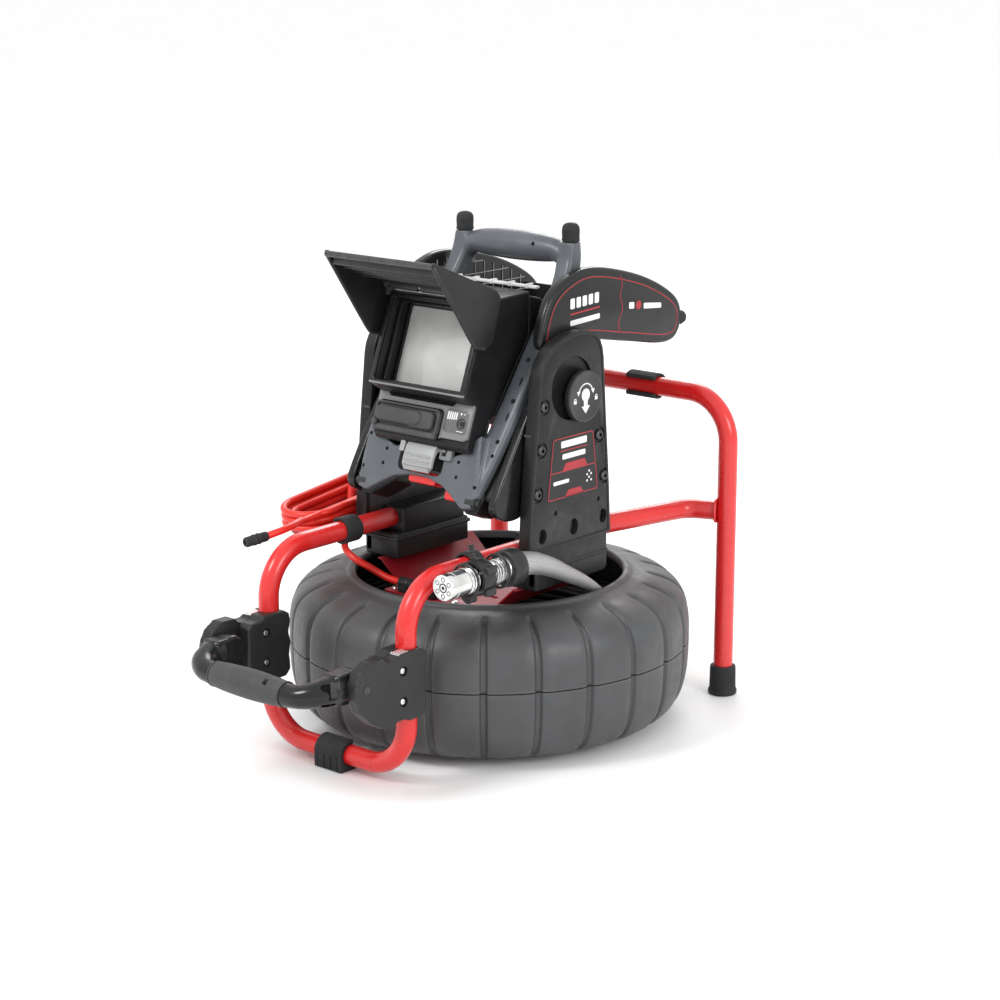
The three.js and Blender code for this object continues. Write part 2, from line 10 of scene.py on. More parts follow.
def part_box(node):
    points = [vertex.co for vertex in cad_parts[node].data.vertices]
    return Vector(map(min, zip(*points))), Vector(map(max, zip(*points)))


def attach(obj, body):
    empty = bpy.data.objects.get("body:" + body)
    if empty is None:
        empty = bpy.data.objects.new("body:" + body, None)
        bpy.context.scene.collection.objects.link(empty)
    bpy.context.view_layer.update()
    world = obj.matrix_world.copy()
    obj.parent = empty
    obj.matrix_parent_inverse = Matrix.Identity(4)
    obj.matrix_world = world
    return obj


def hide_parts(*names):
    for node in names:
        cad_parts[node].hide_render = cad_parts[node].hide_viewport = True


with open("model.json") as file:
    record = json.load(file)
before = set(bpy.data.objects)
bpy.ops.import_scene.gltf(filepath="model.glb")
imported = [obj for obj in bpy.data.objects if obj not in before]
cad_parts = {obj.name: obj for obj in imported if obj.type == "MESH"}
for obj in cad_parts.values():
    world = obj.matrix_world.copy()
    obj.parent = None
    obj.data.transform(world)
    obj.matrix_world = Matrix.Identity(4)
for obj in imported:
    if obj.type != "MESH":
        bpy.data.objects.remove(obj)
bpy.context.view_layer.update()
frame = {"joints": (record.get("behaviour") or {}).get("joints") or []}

# ------------------------------------------------------------------ places
# Shapes are drawn in millimetres from the drum's axis and the floor, and then moved to the row frame.
MM = 0.001
JOINTS = {joint["name"]: joint for joint in frame["joints"]}


def shift(x, y, z):
    return Matrix.Translation((x, y, z))


def spun(axis, degrees):
    return Matrix.Rotation(math.radians(degrees), 4, axis)


def middle(node):
    low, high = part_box(node)
    return (low + high) / 2


AXIS = middle("drum_upper_shell")
WORLD = shift(AXIS.x, AXIS.y, 0) @ Matrix.Scale(MM, 4)

# The leaning frame of the screen: X to the right, Y into the housing, Z up the screen.
INWARD = Vector(JOINTS["power_button_press"]["axis"]).normalized()
LEAN_ANGLE = math.atan2(INWARD.z, INWARD.y)
SCREEN_FOOT = Vector((0, -104, 337))
LEAN = Matrix.Translation(SCREEN_FOOT) @ Matrix.Rotation(LEAN_ANGLE, 4, "X")


def row(x, y, z):
    """A point of the drawing, in the row frame."""
    return WORLD @ Vector((x, y, z))


# ------------------------------------------------------------------ camera, light, floor
VIEW_AZIMUTH = math.radians(40.55)
VIEW_ELEVATION = math.radians(14.19)
VIEW_ANGLE = math.radians(23.76)
EYE = (1458.55, -1688.64, 776.53)


def make_camera():
    camera = bpy.data.objects.new("camera", bpy.data.cameras.new("camera"))
    bpy.context.scene.collection.objects.link(camera)
    back = Vector((math.sin(VIEW_AZIMUTH) * math.cos(VIEW_ELEVATION),
                   -math.cos(VIEW_AZIMUTH) * math.cos(VIEW_ELEVATION),
                   math.sin(VIEW_ELEVATION)))
    camera.location = row(*EYE)
    camera.rotation_mode = "QUATERNION"
    camera.rotation_quaternion = (-back).to_track_quat("-Z", "Y")
    camera.data.sensor_width = 36
    camera.data.angle = VIEW_ANGLE
    camera.data.clip_start = 0.05
    camera.data.clip_end = 100
    bpy.context.scene.camera = camera


def area_light(name, place, target, size, power):
    lamp = bpy.data.lights.new(name, "AREA")
    lamp.shape = "DISK"
    lamp.size = size
    lamp.energy = power
    light = bpy.data.objects.new(name, lamp)
    bpy.context.scene.collection.objects.link(light)
    light.location = place
    light.rotation_mode = "QUATERNION"
    light.rotation_quaternion = (Vector(target) - Vector(place)).to_track_quat("-Z", "Y")


def make_light():
    """A white studio with three soft lamps round the object."""
    world = bpy.data.worlds.new("studio")
    world.use_nodes = True
    background = world.node_tree.nodes["Background"]
    background.inputs["Color"].default_value = (1.0, 1.0, 1.0, 1)
    background.inputs["Strength"].default_value = 1.06
    bpy.context.scene.world = world
    target = (0, 0, 0.22)
    area_light("key", (-0.6, -1.9, 2.1), target, 0.8, 30)
    area_light("side", (2.4, -0.2, 1.2), target, 1.0, 20)
    area_light("back", (-1.2, 1.9, 1.7), target, 1.2, 20)
    bpy.context.scene.view_settings.view_transform = "Standard"


make_camera()
make_light()

# ------------------------------------------------------------------ node materials
BASE, ROUGH, NORMAL = "Base Color", "Roughness", "Normal"


class Shader:
    """A node material with one Principled shader, and short calls to put nodes before it."""

    def __init__(self, name, **sockets):
        self.material = bpy.data.materials.new(name)
        self.material.use_nodes = True
        self.nodes = self.material.node_tree.nodes
        self.links = self.material.node_tree.links
        self.bsdf = self.nodes["Principled BSDF"]
        self.set(self.bsdf, sockets)
        self.coords = self.nodes.new("ShaderNodeTexCoord")
        self.place = self.coords.outputs["Object"]

    def set(self, node, sockets):
        for key, value in sockets.items():
            socket = node.inputs[key.replace("_", " ") if isinstance(key, str) else key]
            if isinstance(value, bpy.types.NodeSocket):
                self.links.new(value, socket)
            else:
                socket.default_value = value

    def node(self, kind, sockets=None, **settings):
        made = self.nodes.new("ShaderNode" + kind)
        for key, value in settings.items():
            setattr(made, key, value)
        self.set(made, sockets or {})
        return made

    def noise(self, scale, detail=3.0, place=None):
        made = self.node("TexNoise", {"Vector": place or self.place, "Scale": scale, "Detail": detail})
        return made.outputs["Fac"]

    def spread(self, value, low, high, start=0.35, end=0.65):
        """value from start to end becomes low to high."""
        made = self.node("MapRange", {"Value": value, "From Min": start, "From Max": end,
                                      "To Min": low, "To Max": high})
        return made.outputs["Result"]

    def maths(self, operation, first, second=0.0):
        return self.node("Math", {0: first, 1: second}, operation=operation).outputs["Value"]

    def mix(self, share, first, second):
        made = self.node("Mix", data_type="RGBA")
        self.set(made, {0: share, 6: first, 7: second})
        return made.outputs[2]

    def bump(self, height, strength, distance):
        made = self.node("Bump", {"Height": height, "Strength": strength, "Distance": distance})
        return made.outputs["Normal"]


def shade(colour, factor):
    return (*(min(1.0, c * factor) for c in colour[:3]), 1)


def surface(name, colour, roughness, grain=900.0, bump=0.25, depth=0.0001, variation=0.12, patch=25.0,
            wear=0.0, **sockets):
    """Moulded, painted or rubber finish: soft colour patches, uneven gloss, fine grain, paler edges."""
    shader = Shader(name, **sockets)
    patches = shader.noise(patch, 5.0)
    tone = shader.spread(patches, 0.0, 1.0)
    body = shader.mix(tone, shade(colour, 1 - variation), shade(colour, 1 + variation))
    if wear:
        edges = shader.node("NewGeometry").outputs["Pointiness"]
        rub = shader.maths("MULTIPLY", shader.spread(edges, 0.0, wear, 0.52, 0.62), shader.noise(140, 6.0))
        body = shader.mix(rub, body, shade([c + 0.25 for c in colour[:3]], 1))
    fine = shader.noise(grain, 2.0)
    shader.set(shader.bsdf, {
        BASE: body,
        ROUGH: shader.spread(shader.noise(patch * 3, 4.0), roughness - 0.05, roughness + 0.07),
        NORMAL: shader.bump(fine, bump, depth)})
    return shader.material


def braid(name, colour):
    """Woven steel sleeve: two sets of strands wound round it, worked out from its own UVs."""
    shader = Shader(name, Metallic=0.75, Roughness=0.42)
    split = shader.node("SeparateXYZ", {"Vector": shader.coords.outputs["UV"]})
    along = split.outputs["Y"]
    around = split.outputs["X"]
    strands = []
    for lean in (1.0, -1.0):
        phase = shader.maths("ADD", shader.maths("MULTIPLY", around, 26.0 * math.tau),
                             shader.maths("MULTIPLY", along, lean * math.tau * 84.0))
        strands.append(shader.maths("SINE", phase))
    weave = shader.maths("MULTIPLY", strands[0], strands[1])
    height = shader.spread(weave, 0.0, 1.0, -1.0, 1.0)
    # The base colour follows the weave's height: darker in the gaps between the strands as painted shade,
    # paler on their crowns as painted highlight.
    shader.set(shader.bsdf, {
        BASE: shader.mix(height, shade(colour, 0.45), shade(colour, 1.25)),
        NORMAL: shader.bump(height, 0.6, 0.0004)})
    return shader.material


def brushed(name, colour, roughness, scratch=(60.0, 900.0, 900.0)):
    """Bright metal with fine lines along X and a few stains."""
    shader = Shader(name, Metallic=1.0)
    stretched = shader.node("Mapping", {"Vector": shader.place, "Scale": scratch}).outputs["Vector"]
    lines = shader.noise(1.0, 4.0, stretched)
    stains = shader.noise(40.0, 5.0)
    shader.set(shader.bsdf, {
        BASE: shader.mix(shader.spread(stains, 0.0, 1.0), shade(colour, 0.82), shade(colour, 1.05)),
        ROUGH: shader.spread(lines, roughness - 0.08, roughness + 0.1),
        NORMAL: shader.bump(lines, 0.12, 0.00005)})
    return shader.material


def glow(name, colour, strength, roughness):
    """Lens window: glossy, faintly cloudy, with a faint painted glow from its emission, though the window is
    no lamp.
    """
    shader = Shader(name, Coat_Weight=0.6, Coat_Roughness=0.04, Emission_Strength=strength)
    cloud = shader.spread(shader.noise(60.0, 3.0), 0.0, 1.0)
    tint = shader.mix(cloud, shade(colour, 0.94), shade(colour, 1.04))
    shader.set(shader.bsdf, {BASE: tint, "Emission_Color": tint,
                             ROUGH: shader.spread(shader.noise(300.0), roughness, roughness + 0.08)})
    return shader.material


def lcd(name):
    """Switched-off display: pale grey under a glossy cover."""
    shader = Shader(name, Coat_Weight=1.0, Coat_Roughness=0.03, Roughness=0.35)
    cloud = shader.spread(shader.noise(40.0, 2.0), 0.0, 1.0)
    shader.set(shader.bsdf, {BASE: shader.mix(cloud, (0.56, 0.56, 0.54, 1), (0.62, 0.62, 0.60, 1))})
    return shader.material


RED_PAINT = surface("red_powder_coat", (0.64, 0.013, 0.012), 0.3, 700, 0.1, 0.0001, 0.05, 14, 0.12,
                    Coat_Weight=0.35, Coat_Roughness=0.18)
TRAY_PAINT = surface("dark_red_sheet", (0.30, 0.008, 0.016), 0.38, 800, 0.14, 0.0001, 0.1, 18, 0.2)
DRUM_SKIN = surface("rotomoulded_grey", (0.057, 0.0585, 0.061), 0.44, 1500, 0.5, 0.00016, 0.1, 30, 0.25)
NYLON = surface("black_nylon", (0.0095, 0.0098, 0.0105), 0.36, 1900, 0.35, 0.0001, 0.16, 35, 0.35,
                Specular_IOR_Level=0.25)
GLOSS_BLACK = surface("gloss_black", (0.008, 0.0084, 0.009), 0.22, 1200, 0.1, 0.00006, 0.15, 30, 0.2,
                      Specular_IOR_Level=0.38)
MONITOR_GREY = surface("blue_grey_moulding", (0.088, 0.097, 0.109), 0.36, 1300, 0.3, 0.0001, 0.12, 28, 0.3)
LABEL_GREY = surface("label_film", (0.016, 0.0165, 0.017), 0.32, 600, 0.06, 0.00004, 0.06, 20,
                     Specular_IOR_Level=0.3)
LABEL_RED = surface("label_red", (0.36, 0.012, 0.02), 0.36, 600, 0.06, 0.00004, 0.05, 20)
LABEL_WHITE = surface("label_white", (0.74, 0.74, 0.74), 0.4, 600, 0.06, 0.00004, 0.03, 20)
GLOSS_GREY = surface("knob_grey", (0.022, 0.023, 0.0245), 0.36, 1400, 0.2, 0.00008, 0.1, 30, 0.25)
RUBBER = surface("matt_rubber", (0.020, 0.0205, 0.0215), 0.72, 1000, 0.5, 0.00016, 0.2, 45, 0.15,
                 Specular_IOR_Level=0.3)
GRIP_RUBBER = surface("grip_rubber", (0.042, 0.043, 0.045), 0.6, 1500, 0.6, 0.00014, 0.12, 40, 0.15)
LIP_GREY = surface("lip_grey", (0.17, 0.175, 0.18), 0.4, 1300, 0.2, 0.0001, 0.1, 30, 0.2)
PANEL_GREY = surface("status_film", (0.10, 0.10, 0.10), 0.22, 500, 0.06, 0.00004, 0.06, 30, Coat_Weight=0.5)
HOOD_BLACK = surface("hood_black", (0.013, 0.0135, 0.014), 0.36, 1500, 0.3, 0.0001, 0.15, 30, 0.3,
                     Specular_IOR_Level=0.3)
CLAMP_BLACK = surface("clamp_black", (0.018, 0.0185, 0.0195), 0.36, 1500, 0.25, 0.0001, 0.12, 30, 0.25,
                      Specular_IOR_Level=0.32)
STEEL = brushed("stainless", (0.72, 0.72, 0.72), 0.27)
CHROME = brushed("polished_steel", (0.82, 0.82, 0.81), 0.16, (900.0, 60.0, 900.0))
DARK_STEEL = brushed("black_oxide", (0.09, 0.09, 0.095), 0.36)
CORD_SKIN = surface("red_cable_jacket", (0.72, 0.022, 0.012), 0.36, 500, 0.12, 0.0001, 0.06, 30)
PUSH_SKIN = surface("push_cable_jacket", (0.018, 0.018, 0.019), 0.5, 900, 0.2, 0.0001, 0.15, 30)
LATCH_PLASTIC = surface("light_grey_moulding", (0.33, 0.335, 0.335), 0.42, 1300, 0.3, 0.0001, 0.08, 30, 0.15)
BOARD = surface("circuit_board", (0.015, 0.10, 0.045), 0.5, 300, 0.2, 0.0001, 0.3, 120)
BRAID = braid("steel_braid", (0.50, 0.50, 0.50))
LENS = glow("camera_window", (0.80, 0.82, 0.80), 0.05, 0.05)
SCREEN_FACE = lcd("lcd_face")
CLEAR_FILM = surface("translucent_strip", (0.72, 0.72, 0.70), 0.3, 500, 0.1, 0.0001, 0.08, 40)

# ------------------------------------------------------------------ shapes, in millimetres
LAY = {
    "x": lambda a, u, v: (a, u, v),
    "y": lambda a, u, v: (u, a, v),
    "z": lambda a, u, v: (u, v, a),
}


def object_of(bm):
    bmesh.ops.recalc_face_normals(bm, faces=bm.faces)
    mesh = bpy.data.meshes.new("shape")
    bm.to_mesh(mesh)
    bm.free()
    made = bpy.data.objects.new("shape", mesh)
    bpy.context.scene.collection.objects.link(made)
    return made


def prism(points, axis, start, end):
    """An outline pushed along an axis; its points are the other two coordinates, in XYZ order."""
    bm = bmesh.new()
    rings = [[bm.verts.new(LAY[axis](a, u, v)) for u, v in points] for a in (start, end)]
    bm.faces.new(rings[0])
    bm.faces.new(reversed(rings[1]))
    for i, (low, high) in enumerate(zip(*rings)):
        after = (i + 1) % len(points)
        bm.faces.new((low, high, rings[1][after], rings[0][after]))
    return object_of(bm)


def block(x0, x1, y0, y1, z0, z1):
    return prism([(x0, y0), (x1, y0), (x1, y1), (x0, y1)], "z", z0, z1)


def lathe(profile, axis="z", centre=(0, 0, 0), sides=64, closed=False, radius_at=None):
    """Turns (radius, height) points about an axis. radius_at(radius, height, angle) may reshape it."""
    bm = bmesh.new()
    rings = []
    for radius, height in profile:
        if radius < 1e-6:
            rings.append([bm.verts.new(Vector(LAY[axis](height, 0, 0)) + Vector(centre))])
            continue
        ring = []
        for i in range(sides):
            angle = math.tau * i / sides
            r = radius_at(radius, height, angle) if radius_at else radius
            spot = LAY[axis](height, r * math.cos(angle), r * math.sin(angle))
            ring.append(bm.verts.new(Vector(spot) + Vector(centre)))
        rings.append(ring)
    pairs = list(zip(rings, rings[1:])) + ([(rings[-1], rings[0])] if closed else [])
    for low, high in pairs:
        for i in range(sides):
            corners = [low[i % len(low)], low[(i + 1) % len(low)],
                       high[(i + 1) % len(high)], high[i % len(high)]]
            corners = [c for n, c in enumerate(corners) if c not in corners[:n]]
            if len(corners) > 2:
                bm.faces.new(corners)
    return object_of(bm)


def rod(axis, radius, length, x, y, z, sides=32, chamfer=0.0):
    half = length / 2
    profile = [(0, -half), (radius - chamfer, -half), (radius, -half + chamfer),
               (radius, half - chamfer), (radius - chamfer, half), (0, half)]
    if not chamfer:
        profile = [(0, -half), (radius, -half), (radius, half), (0, half)]
    return lathe(profile, axis, (x, y, z), sides)


def rounded_path(corners, radius, steps=14):
    """A line through corners, each inner corner rounded to the radius."""
    corners = [Vector(c) for c in corners]
    path = [corners[0]]
    for before, corner, after in zip(corners, corners[1:], corners[2:]):
        back = (before - corner).normalized()
        ahead = (after - corner).normalized()
        half = back.angle(ahead) / 2
        centre = corner + (back + ahead).normalized() * (radius / math.sin(half))
        start = corner + back * (radius / math.tan(half)) - centre
        end = corner + ahead * (radius / math.tan(half)) - centre
        turn = start.angle(end)
        for i in range(steps + 1):
            share = i / steps
            spot = (start * math.sin((1 - share) * turn) + end * math.sin(share * turn)) / math.sin(turn)
            path.append(centre + spot)
    return path + [corners[-1]]


def smooth_path(points, steps=8, closed=False):
    """A smooth line through the points."""
    points = [Vector(p) for p in points]
    count = len(points)
    path = []
    for i in range(count if closed else count - 1):
        if closed:
            p0, p1, p2, p3 = (points[(i + k) % count] for k in (-1, 0, 1, 2))
        else:
            p0, p1, p2, p3 = (points[min(max(i + k, 0), count - 1)] for k in (-1, 0, 1, 2))
        for step in range(steps):
            t = step / steps
            path.append(0.5 * (2 * p1 + (p2 - p0) * t + (2 * p0 - 5 * p1 + 4 * p2 - p3) * t * t
                               + (3 * p1 - p0 - 3 * p2 + p3) * t ** 3))
    return path if closed else path + [points[-1]]


def flat_path(points, steps=6, closed=False):
    """A smooth line or outline through (u, v) points."""
    return [(p.x, p.y) for p in smooth_path([(u, v, 0) for u, v in points], steps, closed)]


def smooth_values(values, steps):
    """The values with smooth steps between them, as a smooth path has."""
    return [p.x for p in smooth_path([(value, 0, 0) for value in values], steps)]


def polygon(radius, count):
    """(u, v) corners of an even polygon."""
    return [(radius * math.cos(math.tau * i / count), radius * math.sin(math.tau * i / count))
            for i in range(count)]


def arc(u, v, radius, start, end, steps=8):
    """(u, v) points on an arc, angles in degrees."""
    angles = [math.radians(start + (end - start) * i / steps) for i in range(steps + 1)]
    return [(u + radius * math.cos(a), v + radius * math.sin(a)) for a in angles]


def rounded_box(u0, u1, v0, v1, radius, steps=6):
    """Outline of a rectangle with round corners."""
    return (arc(u1 - radius, v1 - radius, radius, 0, 90, steps)
            + arc(u0 + radius, v1 - radius, radius, 90, 180, steps)
            + arc(u0 + radius, v0 + radius, radius, 180, 270, steps)
            + arc(u1 - radius, v0 + radius, radius, 270, 360, steps))


def panel(u0, u1, v0, v1, radius, start, end, steps=6):
    """A slab with round corners that faces along Y."""
    return prism(rounded_box(u0, u1, v0, v1, radius, steps), "y", start, end)


def curve_of(path, radius, radii=None, sides=4, closed=False):
    """A round wire along a path, as a curve of one spline."""
    data = bpy.data.curves.new("wire", "CURVE")
    data.dimensions = "3D"
    data.bevel_depth = radius
    data.bevel_resolution = sides
    data.use_fill_caps = True
    spline = data.splines.new("POLY")
    spline.points.add(len(path) - 1)
    spline.use_cyclic_u = closed
    for i, spot in enumerate(path):
        spline.points[i].co = (*spot, 1)
        spline.points[i].radius = radii[i] if radii else 1
    made = bpy.data.objects.new("wire", data)
    bpy.context.scene.collection.objects.link(made)
    return made


def baked(obj):
    """The object as a plain mesh, its modifiers applied."""
    bpy.context.view_layer.update()
    mesh = bpy.data.meshes.new_from_object(obj.evaluated_get(bpy.context.evaluated_depsgraph_get()))
    if obj.type == "MESH":
        obj.modifiers.clear()
        obj.data = mesh
        return obj
    made = bpy.data.objects.new("shape", mesh)
    bpy.context.scene.collection.objects.link(made)
    bpy.data.objects.remove(obj)
    return made


def tube(path, radius, radii=None, sides=6, closed=False):
    """A round wire along a path, as a closed mesh."""
    made = baked(curve_of(path, radius, radii, sides, closed))
    bm = bmesh.new()
    bm.from_mesh(made.data)
    bmesh.ops.remove_doubles(bm, verts=bm.verts, dist=1e-4)
    bmesh.ops.recalc_face_normals(bm, faces=bm.faces)
    bm.to_mesh(made.data)
    bm.free()
    return made


def modified(obj, kind, **settings):
    modifier = obj.modifiers.new("step", kind)
    for key, value in settings.items():
        setattr(modifier, key, value)
    return baked(obj)


def combined(first, others, operation):
    for other in others:
        modified(first, "BOOLEAN", operation=operation, object=other, solver="MANIFOLD")
        bpy.data.objects.remove(other)
    return first


def union(first, *others):
    return combined(first, others, "UNION")


def cut(first, *others):
    return combined(first, others, "DIFFERENCE")


def joined(*objects):
    """Several separate shapes as one object."""
    bm = bmesh.new()
    for made in objects:
        bm.from_mesh(made.data)
        bpy.data.objects.remove(made)
    mesh = bpy.data.meshes.new("shape")
    bm.to_mesh(mesh)
    bm.free()
    whole = bpy.data.objects.new("shape", mesh)
    bpy.context.scene.collection.objects.link(whole)
    return whole


def bevelled(obj, width, segments=3, angle=28):
    return modified(obj, "BEVEL", width=width, segments=segments, limit_method="ANGLE",
                    angle_limit=math.radians(angle), harden_normals=False)


def soft_prism(points, axis, start, end, width, segments=3):
    return bevelled(prism(points, axis, start, end), width, segments)


def soft_block(x0, x1, y0, y1, z0, z1, width, segments=3):
    return bevelled(block(x0, x1, y0, y1, z0, z1), width, segments)


def moulded(obj, voxel=1.2, smoothing=6):
    """One skin with soft edges round everything, as a moulding has."""
    modified(obj, "REMESH", mode="VOXEL", voxel_size=voxel, use_smooth_shade=True)
    return modified(obj, "SMOOTH", factor=0.5, iterations=smoothing)


def moved(obj, matrix):
    obj.data.transform(matrix)
    return obj


def mirrored(side, build):
    """build() for the right side, turned over for the left one."""
    made = build()
    if side < 0:
        made.data.transform(Matrix.Scale(-1, 4, (1, 0, 0)))
        made.data.flip_normals()
    return made


def piece(name, obj, material, body, replaces=(), sharp=35, frame_of=WORLD):
    """Names a finished shape, moves it to the row frame, paints it and lets it ride on its body."""
    obj.data.transform(frame_of)
    obj.name = name
    obj.data.name = name
    obj.data.materials.clear()
    obj.data.materials.append(material)
    if obj.type == "MESH":
        obj.data.shade_smooth()
        obj.data.set_sharp_from_angle(angle=math.radians(sharp))
    if replaces:
        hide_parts(*replaces)
    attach(obj, body)
    return obj


def leaning(name, obj, material, body="monitor", replaces=(), sharp=35):
    """A piece drawn in the leaning frame of the screen."""
    return piece(name, obj, material, body, replaces, sharp, WORLD @ LEAN)


SIDES = (("left", -1), ("right", 1))

# ------------------------------------------------------------------ the system cable
CORD_WIDTH = 7.0
COIL_PLACE = shift(-148, -45, 196) @ spun("X", 7)
COIL_STRAIGHT = 47.0
COIL_RADII = (21.2, 28.6)
COIL_LAYERS = 4
COIL_RISE = 7.15
FOLD_STEPS = 10
LEAD_ROUTE = [(-14.3, -79, 138.5), (-38, -79, 138.5), (-60, -80, 140), (-80, -83, 147),
              (-99, -88, 155.5), (-114, -84, 163), (-122, -72, 172)]
TAIL_ROUTE = [(-123.5, -120.3, 197.5), (-116, -140, 200), (-107, -160, 201), (-104, -178, 200),
              (-108, -194, 197)]


def hank_bend(radius, y, height, start):
    """Half a clockwise turn round one end of the hank."""
    angles = [start - math.pi * i / FOLD_STEPS for i in range(FOLD_STEPS + 1)]
    return [(radius * math.cos(angle), y + radius * math.sin(angle), height) for angle in angles]


def hank_turn(radius, level, next_level):
    """One clockwise turn of the hank from the middle of its left run, stepping level on the right run."""
    height = (level - (COIL_LAYERS - 1) / 2) * COIL_RISE
    next_height = (next_level - (COIL_LAYERS - 1) / 2) * COIL_RISE
    turn = [(-radius, 0, height), (-radius, COIL_STRAIGHT * 0.6, height)]
    turn += hank_bend(radius, COIL_STRAIGHT, height, math.pi)
    turn += [(radius, COIL_STRAIGHT * 0.5, height), (radius, -COIL_STRAIGHT * 0.5, next_height)]
    turn += hank_bend(radius, -COIL_STRAIGHT, next_height, 0)
    return turn + [(-radius, -COIL_STRAIGHT * 0.4, next_height)]


def cord_path():
    """From the gland, over the tray to the hank, round it four times inside and four outside, to the plug."""
    inner, outer = COIL_RADII
    top = COIL_LAYERS - 1
    local = [(10, -12, -20.0), (0, 2, -14.0), (-9, 14, -3.0), (-16, 24, 6.5), (-20, 34, 10.2)]
    first = hank_turn(inner, top, top - 1)
    local += first[2:]
    for level in range(top - 1, 0, -1):
        local += hank_turn(inner, level, level - 1)
    local += hank_turn(inner, 0, 0)[:-1]
    for level in range(top):
        local += hank_turn(outer, level, level + 1)
    last = hank_turn(outer, top, top)
    local += last[:FOLD_STEPS + 4]
    turns = [COIL_PLACE @ Vector(p) for p in local]
    return smooth_path([*map(Vector, LEAD_ROUTE), *turns, *map(Vector, TAIL_ROUTE)], 4)


def make_cord():
    path = [WORLD @ p for p in cord_path()]
    length = sum((b - a).length for a, b in zip(path, path[1:]))
    cord = curve_of(path, CORD_WIDTH / 2 * MM, sides=5)
    cord.name = "system_cable"
    cord.data.materials.append(CORD_SKIN)
    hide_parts("system_cable_lead", "system_cable_coil", "system_cable_tail")
    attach(cord, "frame")
    return cord, length


def make_cord_plug():
    """Capped connector: a sleeve with a ribbed collar, lying along the end of the cable."""
    profile = [(0, 0), (4.3, 0), (4.8, 1), (4.8, 8), (5.4, 8.8), (5.4, 10.6), (4.6, 11.2), (4.6, 12.6),
               (5.4, 13.2), (5.4, 15), (4.9, 15.8), (4.9, 22.6), (4.2, 24), (2.4, 24), (2.2, 22), (0, 22)]
    plug = lathe([(r, -h) for r, h in profile], "y", sides=40)
    turn = (shift(*TAIL_ROUTE[-1]) @ spun("X", 7)
            @ spun("Z", -14))
    moved(plug, turn)
    return piece("cable_end_plug", plug, RUBBER, "frame", ["system_cable_plug"])


cord, CORD_LENGTH = make_cord()
cord_plug = make_cord_plug()


def make_gland():
    """Tapered strain relief on a block, bolted to the tray's front flange."""
    body = soft_block(-13, 2, -84, -63, 130.3, 147, 1.6, 3)
    relief = lathe([(0, 0), (6.4, 0), (6.4, 3), (5.2, 5), (5.2, 9), (4.4, 22),
                    (3.55, 22), (3.55, 20), (0, 20)], "x", sides=32)
    moved(relief, shift(-13, -79, 138.5) @ spun("Z", 180))
    return piece("cable_strain_relief", joined(body, relief), NYLON, "frame", ["cable_gland"])


def make_cable_clip():
    """P-clip over the cable, with a flat ear and a short leg."""
    outer = lathe([(4.1, -6), (5.6, -6), (5.9, -5), (5.9, 5), (5.6, 6), (4.1, 6)], "x",
                  (-38, -79, 138.5), 32, True)
    ear = soft_block(-43.5, -32.5, -83.6, -66, 130.3, 133.2, 0.8, 2)
    leg = soft_block(-43.5, -32.5, -84.8, -81.6, 130.3, 139, 0.8, 2)
    return piece("cable_p_clip", joined(outer, ear, leg), NYLON, "frame", ["cable_clip"])


gland = make_gland()
make_cable_clip()

# ------------------------------------------------------------------ drum
DRUM_R = 195.0
GROOVES = 24
GROOVE_TURN = math.radians(9.2)
GROOVE_HALF = 3.9
GROOVE_DEPTH = 3.1
PAD_EDGE = 11.0
PAD_FALL = 1.1
COARSE_STEPS = 11
FINE_STEPS = (-7.0, -5.0, -4.3, -3.6, -2.9, -2.1, -1.2, 0.0, 1.2, 2.1, 2.9, 3.6, 4.3, 5.0, 7.0)
LOWER_WALL = [(31, 6), (90, 6), (140, 6.2), (160, 7.6), (174, 12), (184, 20.5), (190.2, 32), (193.6, 47),
              (195.0, 63), (195.4, 79.3)]
UPPER_WALL = [(195.4, 80.5), (195.2, 96), (193.4, 110.5), (188.6, 122.5), (180, 131.4), (167, 137.6),
              (154, 141.2), (144, 142.6), (139.5, 143.6), (136.6, 145.8), (133.6, 146.6), (131, 145.8),
              (129.8, 143)]


def pitch_angles():
    """Angles round the drum, closer together across each groove."""
    pitch = math.tau / GROOVES
    fine = [s / DRUM_R for s in FINE_STEPS]
    coarse = [fine[-1] + (pitch - fine[-1] + fine[0]) * i / COARSE_STEPS
              for i in range(1, COARSE_STEPS)]
    return [GROOVE_TURN + pitch * n + step for n in range(GROOVES) for step in fine + coarse]


def ease(value, start, end):
    share = min(1.0, max(0.0, (value - start) / (end - start)))
    return share * share * (3 - 2 * share)


def groove_depth(angle, radius, start, end):
    """How far the skin is sunk at this angle, for a groove that fades out between two radii."""
    pitch = math.tau / GROOVES
    off = abs((angle - GROOVE_TURN + pitch / 2) % pitch - pitch / 2) * DRUM_R
    here = ease(radius, start, end)
    valley = 1 - ease(off, GROOVE_HALF * 0.4 * here, GROOVE_HALF * (0.5 + 0.65 * here))
    shoulder = 1 - ease(off, 0, PAD_EDGE)
    return here * (GROOVE_DEPTH * valley + PAD_FALL * shoulder)


def shell(outside, inside, fade, steps):
    """A turned shell whose outside carries the grooves."""
    outer = flat_path(outside, steps)
    ring = outer + inside
    normals = []
    for i in range(len(outer)):
        before, after = outer[max(i - 1, 0)], outer[min(i + 1, len(outer) - 1)]
        run = Vector((after[0] - before[0], after[1] - before[1])).normalized()
        normals.append(Vector((run.y, -run.x)))
    angles = pitch_angles()
    bm = bmesh.new()
    rows = []
    for i, (radius, height) in enumerate(ring):
        line = []
        for angle in angles:
            r, h = radius, height
            if i < len(outer):
                sunk = groove_depth(angle, radius, *fade)
                r -= sunk * normals[i].x
                h -= sunk * normals[i].y
            line.append(bm.verts.new((r * math.cos(angle), r * math.sin(angle), h)))
        rows.append(line)
    count = len(angles)
    for low, high in zip(rows, rows[1:] + rows[:1]):
        for i in range(count):
            bm.faces.new((low[i], low[(i + 1) % count], high[(i + 1) % count], high[i]))
    return object_of(bm)


HUB_RIBS = 6


